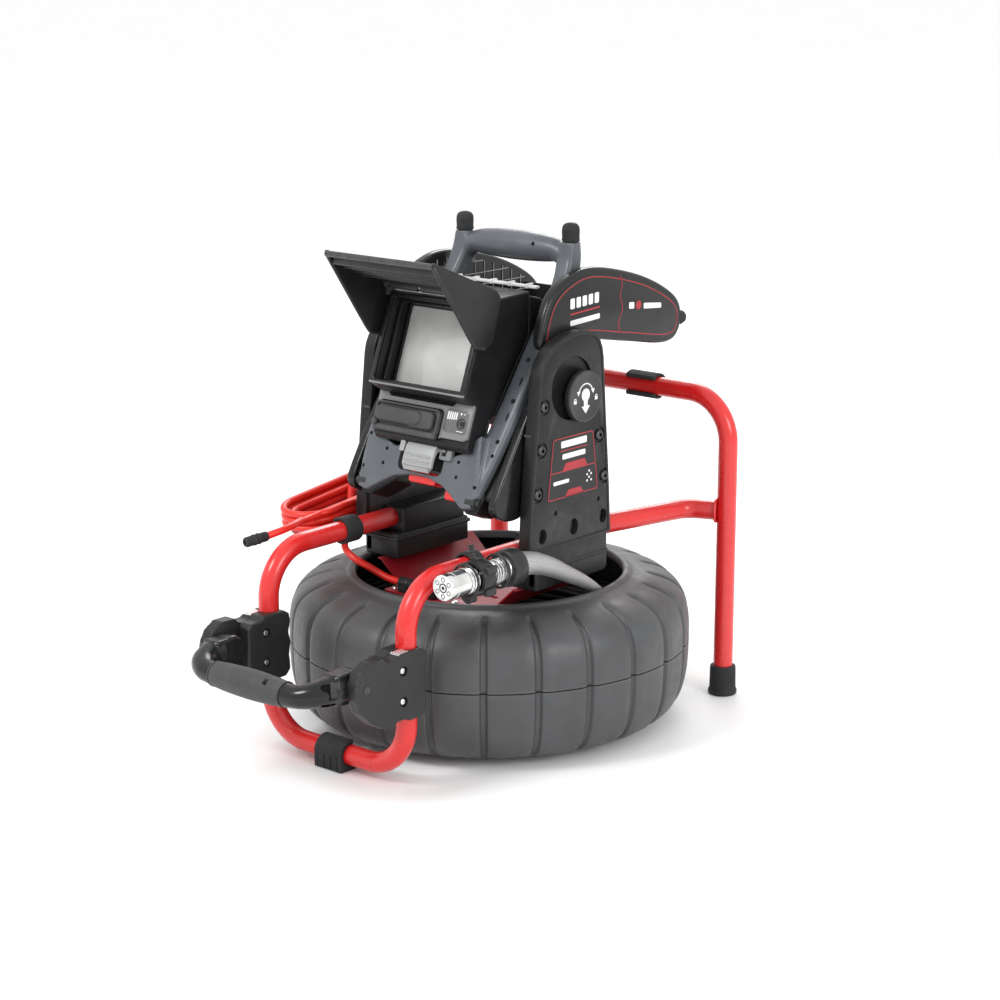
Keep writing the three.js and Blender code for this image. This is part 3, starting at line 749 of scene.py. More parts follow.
def make_drum():
    lower = shell(LOWER_WALL, [(192.2, 79.3), (190.6, 79.3), (189, 50), (183, 28), (168, 16), (145, 10.6),
                               (31, 10)], (163, 176), 5)
    upper = shell(UPPER_WALL, [(129.8, 140), (150, 138), (166, 132.6), (180, 121), (188, 103),
                               (190.8, 80.4), (192.4, 80.4)], (151, 161), 6)
    piece("drum_bottom_shell", lower, DRUM_SKIN, "drum", ["drum_lower_shell"], 50)
    piece("drum_top_shell", upper, DRUM_SKIN, "drum", ["drum_upper_shell"], 50)
    hub = lathe([(16.4, 7), (30.4, 7), (30.4, 20), (29, 24), (29, 84), (30.4, 88), (30.4, 99), (29.4, 100),
                 (16.4, 100)], sides=64, closed=True)
    ribs = [block(-2, 2, 28, 46, 10.2, 60) for _ in range(HUB_RIBS)]
    for i, rib in enumerate(ribs):
        moved(bevelled(rib, 0.8, 2), Matrix.Rotation(math.tau * i / HUB_RIBS, 4, "Z"))
    piece("drum_hub_tube", joined(hub, *ribs), DRUM_SKIN, "drum", ["drum_hub"])


PUSH_R = 3.35
WINDING_OUT, WINDING_IN, WINDING_TOP, WINDING_HEIGHT = 183.5, 122.5, 93.5, 72.0
WINDING_STEPS = 72


def make_winding():
    """The top layer and the inner layer of the push cable, lying in the drum."""
    path = []
    turns_in, turns_up, steps = 9, 10, WINDING_STEPS
    for i in range(turns_in * steps + 1):
        share = i / (turns_in * steps)
        angle = math.tau * turns_in * share
        radius = WINDING_OUT - (WINDING_OUT - WINDING_IN) * share
        height = WINDING_TOP + 1.6 * math.sin(angle * 0.5 + 1.0) * math.sin(share * math.pi)
        path.append((radius * math.cos(angle), radius * math.sin(angle), height))
    for i in range(1, turns_up * steps + 1):
        share = i / (turns_up * steps)
        angle = math.tau * turns_up * share
        radius = WINDING_IN - 0.5
        path.append((radius * math.cos(angle), radius * math.sin(angle),
                     WINDING_TOP - WINDING_HEIGHT * share))
    winding = tube([Vector(p) for p in path], PUSH_R, sides=2)
    piece("push_cable_winding", winding, PUSH_SKIN, "drum", ["push_cable_coil"], 60)


make_drum()
make_winding()

# ------------------------------------------------------------------ tube frame
TUBE_R = 9.6
BEND_R = 46
FRONT_X, FRONT_Y, FRONT_LOW = 87, -214, 15
RAIL_Z = 190
REAR_X, REAR_Y, CROSSBAR_Z = 148, 188, 304
JOIN_Y = FRONT_Y + BEND_R + 4
WELD_X, WELD_Y, WELD_R = 140.4, 181, 10.9


def make_tubes():
    """Front loop, rear loop and the two rails welded to it."""
    front = rounded_path([(FRONT_X, JOIN_Y, RAIL_Z), (FRONT_X, FRONT_Y, RAIL_Z),
                          (FRONT_X, FRONT_Y, FRONT_LOW),
                          (-FRONT_X, FRONT_Y, FRONT_LOW), (-FRONT_X, FRONT_Y, RAIL_Z),
                          (-FRONT_X, JOIN_Y, RAIL_Z)], BEND_R)
    rear = rounded_path([(-REAR_X, REAR_Y, 8), (-REAR_X, REAR_Y, CROSSBAR_Z), (REAR_X, REAR_Y, CROSSBAR_Z),
                         (REAR_X, REAR_Y, 8)], BEND_R)
    piece("front_loop", tube(front, TUBE_R, sides=10), RED_PAINT, "frame", ["front_loop_tube"])
    piece("rear_loop", tube(rear, TUBE_R, sides=10), RED_PAINT, "frame", ["rear_loop_tube"])
    for label, side in SIDES:
        rail = rounded_path([(side * FRONT_X, JOIN_Y, RAIL_Z), (side * FRONT_X, 64, RAIL_Z),
                             (side * 112, 170, RAIL_Z), (side * 141, 181.5, RAIL_Z)], 24)
        weld = [(side * (WELD_X + WELD_R * math.cos(a) * 0.42), WELD_Y - WELD_R * math.cos(a) * 0.9,
                 RAIL_Z + WELD_R * math.sin(a)) for a in [math.tau * i / 28 for i in range(28)]]
        bead = tube([Vector(p) for p in weld], 1.5, sides=3, closed=True)
        piece(f"{label}_rail", joined(tube(rail, TUBE_R, sides=10), bead), RED_PAINT, "frame",
              [f"{label}_rail_tube"])


def make_feet():
    """Rubber cups over the ends of the rear legs."""
    for label, side in SIDES:
        cup = lathe([(0, 0), (12.6, 0), (13.8, 0.7), (14.4, 2.2), (14.4, 4.5), (13.6, 5.4), (13.2, 7),
                     (12.9, 27.6), (12.4, 29.4), (11.4, 30), (9.75, 30), (9.75, 7.6), (0, 7.6)],
                    centre=(side * REAR_X, REAR_Y, 0), sides=56)
        piece(f"{label}_foot_cup", cup, RUBBER, "frame", [f"{label}_foot"])


def c_clip(axis, length, place, gap_at, wall=3.4, gap=0.9):
    """Rubber clip round a tube, open over a part of the way round, with beads along its lips."""
    start, end = gap_at + gap, gap_at + math.tau - gap
    steps = 40
    angles = [start + (end - start) * i / steps for i in range(steps + 1)]
    inner, outer = TUBE_R + 0.25, TUBE_R + wall
    points = ([(outer * math.cos(a), outer * math.sin(a)) for a in angles]
              + [(inner * math.cos(a), inner * math.sin(a)) for a in reversed(angles)])
    clip = soft_prism(points, axis, -length / 2, length / 2, 0.9, 3)
    lips = []
    for angle in (start, end):
        spot = LAY[axis](0, (inner + outer) / 2 * math.cos(angle), (inner + outer) / 2 * math.sin(angle))
        lips.append(rod(axis, wall * 0.72, length, *spot, 20, 1.0))
    return moved(joined(clip, *lips), shift(*place))


def make_clips():
    for label, side in SIDES:
        clip = c_clip("x", 36, (side * 45, REAR_Y, CROSSBAR_Z), math.pi)
        piece(f"{label}_crossbar_clip", clip, RUBBER, "frame", [f"{label}_crossbar_pad"])
    clip = c_clip("y", 20, (-FRONT_X, -108, RAIL_Z), math.pi)
    piece("rail_clip", clip, RUBBER, "frame", ["rail_pad"])
    outside = arc(FRONT_Y, FRONT_LOW, 14.1, 72, 180, 16) + [(FRONT_Y - 14.1, 1.2), (FRONT_Y - 12.9, 0),
                                                            (FRONT_Y + 7, 0), (FRONT_Y + 8, 1),
                                                            (FRONT_Y + 8, 3.6)]
    inside = arc(FRONT_Y, FRONT_LOW, 9.85, -52, -288, 24)
    pad = soft_prism(outside + inside, "x", -17, 17, 0.9, 3)
    grooves = [block(-13 + 8.4 * i, -12 + 8.4 * i, FRONT_Y - 14.8, FRONT_Y - 13.6, 1.5, 15) for i in range(4)]
    piece("front_floor_pad", cut(pad, *grooves), RUBBER, "frame", ["front_foot_pad"])


make_tubes()
make_feet()
make_clips()

# ------------------------------------------------------------------ fasteners
def socket_bolt(x, y, z, side, radius=5.2, height=3.2):
    """Button-head bolt with a hexagon socket, its head standing off towards side along X."""
    profile = [(0, 0), (radius, 0), (radius, height * 0.3), (radius * 0.93, height * 0.62),
               (radius * 0.74, height * 0.9), (radius * 0.5, height), (0, height)]
    head = cut(lathe(profile, "x", sides=32),
               prism(polygon(radius * 0.42, 6), "x", height * 0.35, height + 1))
    if side < 0:
        moved(head, spun("Z", 180))
    return moved(head, shift(x, y, z))


# ------------------------------------------------------------------ dock: side plates and tray
PLATE_IN, PLATE_OUT = 97, 110
PIVOT_Y, PIVOT_Z = 2, 330
PLATE_FACE = [(-72, 190), (-70, 225), (-64, 289), (-57, 352), (-55, 361), (-51, 369), (-44, 377), (-34, 383),
              (-21, 388), (-8, 390.5), (4, 391), (15, 389.6), (24, 386), (31, 380), (35, 372), (37, 362),
              (41, 310), (47, 240), (50, 190)]
PLATE_BOLTS = ((-50, 327), (-54, 287), (-59, 246), (31, 288), (39, 247))
PLATE_HOLES = ((-52, 205, 5.8), (-6, 206, 6.4), (38, 208, 5.6), (-33, 224, 2.0), (31, 226, 2.0))
LABEL = [(-38, 295), (22, 295), (30, 236), (-46, 236)]


def inset(points, distance):
    """Moves an outline's points inwards by a distance."""
    count = len(points)
    area = sum(points[i][0] * points[(i + 1) % count][1] - points[(i + 1) % count][0] * points[i][1]
               for i in range(count))
    turn = 1 if area > 0 else -1
    inner = []
    for i in range(count):
        before = Vector(points[i - 1])
        here = Vector(points[i])
        after = Vector(points[(i + 1) % count])
        a = (here - before).normalized()
        b = (after - here).normalized()
        normal_a = Vector((-a.y, a.x)) * turn
        normal_b = Vector((-b.y, b.x)) * turn
        bisector = (normal_a + normal_b).normalized()
        inner.append(tuple(here + bisector * (distance / max(0.35, bisector.dot(normal_a)))))
    return inner


def rounded(points, radius, steps=5):
    """An outline whose corners are rounded."""
    count = len(points)
    made = []
    for i in range(count):
        before, here, after = Vector(points[i - 1]), Vector(points[i]), Vector(points[(i + 1) % count])
        trim = min(radius, (before - here).length * 0.45, (after - here).length * 0.45)
        start = here + (before - here).normalized() * trim
        end = here + (after - here).normalized() * trim
        for step in range(steps + 1):
            t = step / steps
            made.append(tuple(start * (1 - t) ** 2 + here * (2 * t * (1 - t)) + end * t * t))
    return made


def frame_line(outside, axis, start, end, width):
    """A closed line of that width along an outline, pushed along an axis."""
    ring = prism(outside, axis, start, end)
    return cut(ring, prism(inset(outside, width), axis, start - 1, end + 1))


def side_plate(side):
    """Hollow plate with bolt seats and ribs, a wall over the rail and a sill that stands on the tray."""
    def build():
        slab = soft_prism(PLATE_FACE, "x", PLATE_IN, PLATE_OUT, 1.6, 4)
        pocket = prism(inset(PLATE_FACE, 5.5), "x", PLATE_IN - 1, PLATE_OUT - 5)
        face = cut(slab, pocket)
        recess = bevelled(rod("x", 30, 8, PLATE_OUT + 0.8, PIVOT_Y - 12, PIVOT_Z + 9, 64), 0.8, 2)
        holes = [moved(rod("x", r, 40, 0, 0, 0, 28), shift(108, y, z) @ Matrix.Diagonal((1, 1, 1.25, 1)))
                 for y, z, r in PLATE_HOLES]
        seats = [rod("x", 7.6, 3.6, PLATE_OUT + 0.6, y, z, 32) for y, z in PLATE_BOLTS]
        face = cut(face, recess, *seats, *holes, rod("x", 6.3, 60, 100, PIVOT_Y, PIVOT_Z, 32))
        ribs = [block(PLATE_IN + 0.4, PLATE_OUT - 4.6, -64 + 0.2 * i, 40, z, z + 2.4)
                for i, z in enumerate((230, 268, 300))]
        sill = soft_block(66, 109, -60, 45, 153, 177.6, 2.4, 4)
        foot = soft_block(99, 109.4, -60, 46, 156, 192, 2.0, 3)
        lip = soft_block(64.6, 110.4, -62, 46.5, 171, 174.6, 1.2, 3)
        wall = soft_block(70, 99, -46, 44, 172, 201, 3.0, 4)
        backing = block(PLATE_IN + 0.6, PLATE_OUT - 7, -67, 50, 195, 230)
        rim = frame_line(inset(PLATE_FACE, 0.6), "x", PLATE_OUT - 0.6, PLATE_OUT + 0.5, 3.2)
        return joined(face, *ribs, backing, bevelled(rim, 0.4, 2), sill, foot, lip, wall)
    return mirrored(side, build)


def plate_label(side):
    """Blank rating label: its dark film, as a plain shape; its red border and blocks and white bars come from
    label_marks.
    """
    def build():
        shape = rounded(LABEL, 4)
        return prism(shape, "x", PLATE_OUT - 0.05, PLATE_OUT + 0.25)
    return mirrored(side, build)


def label_marks(side):
    """The label's red lines and its white bars, standing a hair off the film."""
    start, end = PLATE_OUT + 0.2, PLATE_OUT + 0.42

    def red():
        border = frame_line(rounded(inset(LABEL, 0.8), 3.4), "x", start, end, 0.9)
        waist = prism([(-41, 262.6), (-24, 262.6), (-19, 269.5), (9, 269.5), (13, 262.6),
                       (26, 262.6), (26, 261.6), (-41, 261.6)], "x", start, end)
        foot = prism([(-20, 237.2), (-15, 243.4), (3, 243.4), (8, 237.2)], "x", start, end)
        rule = prism([(-27, 282.0), (13, 282.0), (13, 281.1), (-27, 281.1)], "x", start, end)
        return joined(border, waist, foot, rule)

    def white():
        bars = []
        for y0, y1, z, height in ((-26, 12, 284.4, 6.4), (-24, 10, 273.4, 5.0), (-37, -14, 250.4, 3.6)):
            bars.append(prism(rounded_box(y0, y1, z, z + height, 1.2, 3), "x", start, end))
        grid = [prism([(12 + 3 * i, 246 + 3 * k), (14 + 3 * i, 246 + 3 * k), (14 + 3 * i, 248 + 3 * k),
                       (12 + 3 * i, 248 + 3 * k)], "x", start, end)
                for i in range(3) for k in range(4) if (i + k) % 2 == 0]
        return joined(*bars, *grid)

    return mirrored(side, red), mirrored(side, white)


def make_plates():
    for label, side in SIDES:
        piece(f"{label}_dock_plate", side_plate(side), NYLON, "frame", [f"{label}_side_plate"])
        piece(f"{label}_plate_label", plate_label(side), LABEL_GREY, "frame")
        red, white = label_marks(side)
        piece(f"{label}_label_red", red, LABEL_RED, "frame")
        piece(f"{label}_label_white", white, LABEL_WHITE, "frame")
        bolts = [socket_bolt(side * (PLATE_OUT - 1.2), y, z, side) for y, z in PLATE_BOLTS]
        piece(f"{label}_plate_bolts", joined(*bolts), DARK_STEEL, "frame")


TRAY_FLOOR, TRAY_SHEET = 128, 2.0


def make_tray():
    """Sheet-metal pan across the drum's mouth, with its front flange, slots and screws."""
    half = [(61, TRAY_FLOOR), (85, 150.5), (88.5, 150.5), (88.5, 152.6), (84, 152.6),
            (60.2, TRAY_FLOOR + TRAY_SHEET)]
    section = half + [(-x, z) for x, z in reversed(half)]
    pan = soft_prism(section, "y", -64, 72, 0.7, 2)
    flange = soft_prism(rounded_box(-62, 62, -86, -60, 5), "z", TRAY_FLOOR, TRAY_FLOOR + TRAY_SHEET, 0.6, 2)
    lip = soft_block(-62, 62, -64.5, -62.7, 121, 129, 0.5, 2)
    slots = [prism(rounded_box(x - 9, x + 9, -40, -34, 3), "z", 120, 140) for x in (-34, 34)]
    slots += [prism(rounded_box(x - 3, x + 3, 34, 58, 3), "z", 120, 140) for x in (-40, 40)]
    holes = [rod("z", 2.2, 20, x, -76, 130, 20) for x in (-54, -22, 22, 54)]
    centre = rod("z", 12.3, 30, 0, 0, 129, 32)
    body = union(pan, flange, lip)
    piece("tray_pan", cut(body, *slots, *holes, centre), TRAY_PAINT, "frame", ["tray"])
    head = [(0, 0), (3.8, 0), (3.8, 0.8), (2.8, 2.0), (0, 2.4)]
    screws = [lathe(head, centre=(x, -76, TRAY_FLOOR + TRAY_SHEET), sides=24) for x in (-54, 22, 54)]
    piece("tray_screws", joined(*screws), STEEL, "frame")


def make_axle():
    washer = lathe([(0, 130.2), (21, 130.2), (22, 129.4), (22, 127.0), (0, 127.0)], sides=48)
    nut = soft_prism(polygon(13, 6), "z", 130.2, 137, 1.2, 3)
    stud = rod("z", 6.5, 6, 0, 0, 139.5, 32, 1.0)
    piece("axle_nut", joined(washer, nut, stud), STEEL, "frame")


make_plates()
make_tray()
make_axle()

# ------------------------------------------------------------------ lock knob
def make_knob():
    """Flat disc with a fine milled edge, a shallow dish and a printed arrow between two padlocks."""
    face = PLATE_OUT + 7.0
    body = lathe([(0, 110.5), (23.4, 110.5), (24.6, 111.4), (24.9, 113), (24.9, 115.4), (24.0, face - 0.2),
                  (22.8, face), (21.8, face - 0.5), (0, face - 0.5)], "x", (0, PIVOT_Y, PIVOT_Z), 144,
                 radius_at=lambda r, h, a: r - (0.35 * (1 + math.cos(a * 48)) if r > 24.5 else 0))
    piece("lock_knob_disc", body, GLOSS_GREY, "lock_knob_body", ["lock_knob"])
    start, end = face - 0.55, face - 0.3
    head = prism(arc(PIVOT_Y, PIVOT_Z + 1.5, 6.0, 0, 360, 30)[:-1], "x", start, end)
    arrow = prism([(PIVOT_Y - 3, PIVOT_Z - 1), (PIVOT_Y + 3, PIVOT_Z - 1), (PIVOT_Y + 2.6, PIVOT_Z - 9),
                   (PIVOT_Y + 6, PIVOT_Z - 9), (PIVOT_Y, PIVOT_Z - 16), (PIVOT_Y - 6, PIVOT_Z - 9),
                   (PIVOT_Y - 2.6, PIVOT_Z - 9)], "x", start, end + 0.05)
    sweep_arc = (arc(PIVOT_Y, PIVOT_Z + 1.5, 11.2, 25, 155, 20)
                 + arc(PIVOT_Y, PIVOT_Z + 1.5, 10.0, 155, 25, 20))
    ring = prism(sweep_arc, "x", start, end)
    tips = []
    for sign in (-1, 1):
        y, z = PIVOT_Y + sign * 10.4, PIVOT_Z + 4.6
        tips.append(prism([(y - 2.6, z + 1.4), (y + 2.6, z + 1.4), (y + sign * 0.6, z - 3)], "x", start, end))
    locks = []
    for sign in (-1, 1):
        y, z = PIVOT_Y + sign * 15.5, PIVOT_Z - 3.5
        locks.append(prism(rounded_box(y - 2, y + 2, z - 1.6, z + 1.6, 0.5, 2), "x", start, end))
        shackle = arc(y, z + 1.8, 1.8, 0, 180, 8) + arc(y, z + 1.8, 1.1, 180, 0, 8)
        locks.append(prism(shackle, "x", start, end))
    piece("lock_knob_marks", joined(head, arrow, ring, *tips, *locks), LABEL_WHITE, "lock_knob_body")


make_knob()

# ------------------------------------------------------------------ monitor: frame and handle
CHEEK_IN, CHEEK_OUT = 84.4, 94
FIN_OUT, FIN_PRINT = 95.4, 95.8
HOUSING_X = 59
SCREEN_X, SCREEN_LOW, SCREEN_HIGH, SCREEN_DEPTH = 54, 4, 84, 27
RAIL_STATIONS = (
    # y, z of the middle, inner x, outer x, thickness, lean of the section in degrees
    (-99, 243, 54, 74, 10, 62), (-93, 256, 54, 77, 11, 60), (-78, 281, 57, 81, 12, 58),
    (-62, 305, 60, 83, 13, 56),
    (-44, 331, 62, 84, 15, 54), (-14, 373, 62.5, 83, 16, 52), (12, 405, 61.5, 80.5, 17, 51),
    (30, 429, 58.5, 77, 18, 58), (39, 447, 56, 75, 18.5, 76), (41, 465, 58.4, 73.6, 15.0, 90))


def loft(sections):
    """A closed skin through rings of the same number of points."""
    bm = bmesh.new()
    rings = [[bm.verts.new(p) for p in ring] for ring in sections]
    for low, high in zip(rings, rings[1:]):
        for i in range(len(low)):
            after = (i + 1) % len(low)
            bm.faces.new((low[i], low[after], high[after], high[i]))
    bm.faces.new(rings[0])
    bm.faces.new(reversed(rings[-1]))
    return object_of(bm)


def squircle(half_u, half_v, power=4.0, steps=28):
    """(u, v) points of a rounded rectangle given by a superellipse."""
    points = []
    for i in range(steps):
        angle = math.tau * i / steps
        c, s = math.cos(angle), math.sin(angle)
        points.append((half_u * math.copysign(abs(c) ** (2 / power), c),
                       half_v * math.copysign(abs(s) ** (2 / power), s)))
    return points


def frame_rail(side):
    """Side rail of the frame, from the foot to the cap, through its stations."""
    rows = smooth_path([(*s[:3],) for s in RAIL_STATIONS], 5)
    rest = smooth_path([(*s[3:],) for s in RAIL_STATIONS], 5)
    sections = []
    for (y, z, inner), (outer, thick, lean) in zip(rows, rest):
        angle = math.radians(lean)
        across = Vector((0, -math.sin(angle), math.cos(angle)))
        middle_x = side * (inner + outer) / 2
        sections.append([Vector((middle_x + u, y, z)) + across * v
                         for u, v in squircle((outer - inner) / 2, thick / 2, 5.0)])
    return loft(sections)


def frame_grip():
    """Carrying handle across the top, thickest in the middle."""
    half = [(-66, 40, 432), (-65, 41, 443), (-59, 41, 451), (-50, 41, 455), (-44, 41, 456), (-28, 41, 456.4),
            (0, 41, 456.6)]
    radii = [9.0, 9.6, 10.2, 10.8, 12.0, 13.6, 14.6]
    points = half + [(-x, y, z) for x, y, z in reversed(half[:-1])]
    sizes = radii + radii[-2::-1]
    path = smooth_path(points, 5)
    values = smooth_values(sizes, 5)
    return tube(path, 1.0, values, sides=8)


def chin():
    """Sculpted lower front of the frame, between the feet of the rails."""
    right = [(0, -47), (24, -47), (36, -52), (47, -47), (57, -33), (64, -28), (70, -60), (73, -86), (70, -96),
             (60, -98), (44, -88), (30, -80), (12, -76), (0, -75.5)]
    outline_points = right + [(-x, z) for x, z in reversed(right[1:-1])]
    return moved(prism(outline_points, "y", 30.5, 41), LEAN)


def frame_holes():
    """Screw holes in the frame's front, as cutters in the leaning frame."""
    cutters = []
    for side in (-1, 1):
        cutters += [rod("y", 1.9, 40, side * x, 24, z, 16)
                    for x, z in ((45, -56), (46, -70), (76, -44), (70, -76))]
    return [moved(c, LEAN) for c in cutters]


def rail_holes():
    """Holes and short slots down the front of both rails, as cutters."""
    cutters = []
    marks = ((-13, 393, 70, 3.0, 0), (-5, 404, 72, 1.6, 3), (-33, 366, 74, 2.4, 0), (-46, 348, 76, 1.4, 3.2),
             (-57, 331, 76, 2.6, 0), (-66, 318, 76, 1.4, 3.2), (-80, 297, 76, 2.4, 0))
    for side in (-1, 1):
        for y, z, x, radius, half_slot in marks:
            hole = rod("y", radius, 26, 0, 0, 0, 16)
            if half_slot:
                moved(hole, Matrix.Diagonal((1, 1, 1 + half_slot / radius, 1)))
            spin = spun("X", -36)
            cutters.append(moved(hole, shift(side * x, y, z) @ spin))
    return cutters


def make_monitor_frame():
    body = union(frame_rail(-1), frame_rail(1), frame_grip(), chin())
    body = moulded(body, 1.25, 7)
    notch = moved(panel(-27.5, 27.5, -73, -40, 6, 20, 60), LEAN)
    grip_hole = rod("y", 2.0, 12, 30, 28, 461, 20)
    body = cut(body, notch, grip_hole, *frame_holes(), *rail_holes())
    piece("monitor_cradle", body, MONITOR_GREY, "monitor", ["monitor_frame"], 40)
    backboard = bevelled(panel(-59.5, 59.5, -68, -8, 5, 41.5, 44.5), 0.8, 2)
    leaning("cradle_backboard", backboard, NYLON)
    lobe = [(34, -84), (46, -92), (60, -101), (72, -100), (77, -86), (74, -60), (60, -50), (40, -60)]
    for label, side in SIDES:
        def backing():
            return moulded(prism(lobe, "y", 39, 66), 1.4, 6)
        leaning(f"{label}_lobe_back", mirrored(side, backing), NYLON)

        def web():
            shape = [(-96, 242), (-76, 272), (-52, 306), (-8, 368), (10, 392), (26, 392), (6, 340),
                     (-24, 296), (-52, 258), (-76, 234)]
            return soft_prism(rounded(shape, 5), "x", 59.4, 84.6, 1.4, 3)
        piece(f"{label}_rail_web", mirrored(side, web), NYLON, "monitor")
        cap = lathe([(0, 465.6), (8.3, 465.6), (8.7, 466.4), (8.2, 469), (8.5, 475), (8.2, 478.4),
                     (7.0, 481), (5.0, 482.4),
                     (2.5, 483), (0, 483.1)], centre=(side * 66, 41, 0), sides=40)
        cap = bevelled(cap, 0.3, 1)
        piece(f"{label}_bumper_cap", cap, RUBBER, "monitor", [f"{label}_stop_cap"])
        knuckle = joined(rod("x", 5.2, 12, side * 68, -103, 240.5, 28, 1.0),
                         rod("x", 3.2, 17, side * 68.5, -103, 240.5, 20, 0.8),
                         soft_block(side * 68 - 5, side * 68 + 5, -103, -90, 237, 245, 1.0, 2))
        piece(f"{label}_hinge_knuckle", knuckle, NYLON, "monitor")


# ------------------------------------------------------------------ monitor: screen housing
def make_housing():
    front = [(0.0, 0.0), (0.3, 89.8), (20, 99), (57.2, 114.5), (70.1, 74.6), (54.6, 19.5), (40.5, -35),
             (34, -46), (26, -48), (20.4, -43), (20.4, -4.6)]
    body = moulded(prism(front, "x", -HOUSING_X, HOUSING_X), 1.3, 9)
    cavity = panel(-SCREEN_X, SCREEN_X, SCREEN_LOW, SCREEN_HIGH, 2.5, -5,
                   SCREEN_DEPTH + 4.2)
    bay = panel(-57, 25, -40, -11, 5, 10, 24)
    button_hole = rod("y", 3.4, 8, 49, 21, -22, 24)
    body = cut(body, cavity, bay, button_hole)
    for kind in (-1, 1):
        lug = joined(rod("x", 4.4, 4.4, kind * 61, 0, 0, 28, 0.6),
                     block(kind * 61 - 2.2, kind * 61 + 2.2, 0, 7, -11, 0))
        lug = moved(lug, LEAN.inverted() @ shift(0, -75, 427))
        body = joined(body, lug)
    leaning("screen_case", body, NYLON, "monitor", ["screen_housing"], 40)

    outer = rounded_box(-58.6, 58.6, 0.6, 88.6, 4)
    rim = bevelled(cut(prism(outer, "y", -1.4, 1.6),
                       panel(-SCREEN_X, SCREEN_X, SCREEN_LOW, SCREEN_HIGH + 1, 2.5, -3, 4)), 0.5, 2)
    inner = bevelled(cut(panel(-53.8, 53.8, 4.2, 83.8, 2.4, 11, 13.6),
                         panel(-51.4, 51.4, 6.6, 81.4, 2, 8, 16)), 0.5, 2)
    leaning("screen_bezel", joined(rim, inner), GLOSS_BLACK)
    sill = soft_prism([(-1.8, 0.2), (-1.8, 1.8), (0.4, 3.0), (3, 2.6), (3, 0.2)], "x", -58.4, 58.4, 0.4, 2)
    leaning("bezel_sill", sill, LIP_GREY)
    gasket = cut(panel(-53.4, 53.4, 4.6, 83.4, 2, SCREEN_DEPTH - 1.4, SCREEN_DEPTH - 0.1),
                 panel(-51.2, 51.2, 6.8, 81.2, 1.5, SCREEN_DEPTH - 3, SCREEN_DEPTH + 1))
    leaning("screen_gasket", gasket, RUBBER)
    face = bevelled(panel(-53.6, 53.6, 4.4, 83.6, 1.5, SCREEN_DEPTH, SCREEN_DEPTH + 4), 0.5, 2)
    leaning("screen_face", face, SCREEN_FACE, "monitor", ["lcd_panel"])


def make_status_panel():
    """Clear-edged panel with a charge gauge, beside the port bay; the power button comes through it."""
    plate = bevelled(panel(28.5, 56, -31.5, -9.4, 3, 17.0, 20.2), 0.5, 2)
    plate = cut(plate, rod("y", 3.9, 8, 49, 20, -22, 28))
    leaning("status_panel", plate, PANEL_GREY)
    apron = bevelled(cut(prism([(-58.6, -1.2), (-50, -1.2), (-44, -7.4), (34, -7.4), (40, -1.2),
                                (58.6, -1.2), (58.6, -34.6),
                                (55, -37.4), (28, -37.4), (20, -40), (-56, -40),
                                (-58.6, -36)], "y", 17.6, 20.8),
                         panel(-56.4, 25.6, -40.5, -11.6, 5, 15, 22)), 0.6, 2)
    leaning("port_surround", apron, LIP_GREY)
    bars = [panel(31 + 2.5 * i, 32.6 + 2.5 * i, -19.6 + 0.2 * i, -12, 0.4, 16.7, 17.3, 2)
            for i in range(5)]
    marks = [rod("y", 1.0, 0.5, 47, 16.9, -13, 16), rod("y", 0.7, 0.5, 51, 16.9, -13, 16),
             panel(45, 53, -29.6, -29.0, 0.2, 16.7, 17.3, 2)]
    leaning("status_marks", joined(*bars, *marks), LABEL_WHITE)
    ring = lathe([(3.9, 0), (5.0, 0), (5.0, 0.9), (4.4, 1.2), (3.9, 1.0)], "y", sides=32, closed=True)
    moved(ring, shift(49, 17.2, -22) @ spun("X", 180))
    leaning("button_ring", ring, NYLON)
    cap = lathe([(0, -2.4), (1.6, -2.3), (2.6, -1.7), (2.95, -0.8), (2.95, 2.5), (0, 2.5)], "y",
                (49, 19, -22), 32)
    leaning("power_button_cap", cap, RUBBER, "button", ["power_button"])


def make_port_door():
    """Rubber cover of the port bay: a rimmed tub with a fat finger bar and a hinge along its foot."""
    base = bevelled(panel(-56, 24, -37.6, -13, 4.5, 15.4, 19.6), 1.0, 3)
    rim = bevelled(frame_line(rounded_box(-56, 24, -37.6, -13, 4.5), "y", 13.2, 16, 2.2), 0.7, 2)
    bar = panel(-51, 6, -32.2, -17, 6.5, 7.2, 16, 8)
    bar = bevelled(bar, 3.4, 5)
    step = bevelled(panel(-10, 19, -33.4, -16.4, 4, 9.6, 16, 6), 2.0, 4)
    hinge = rod("x", 2.9, 78, -16, 16, -38, 24, 0.8)
    knob = rod("y", 3.4, 4, -52.6, 12.6, -33.6, 24, 1.0)
    body = joined(base, rim, bar, step, hinge, knob)
    leaning("port_cover", body, GRIP_RUBBER, "port_door_flap", ["port_door"])


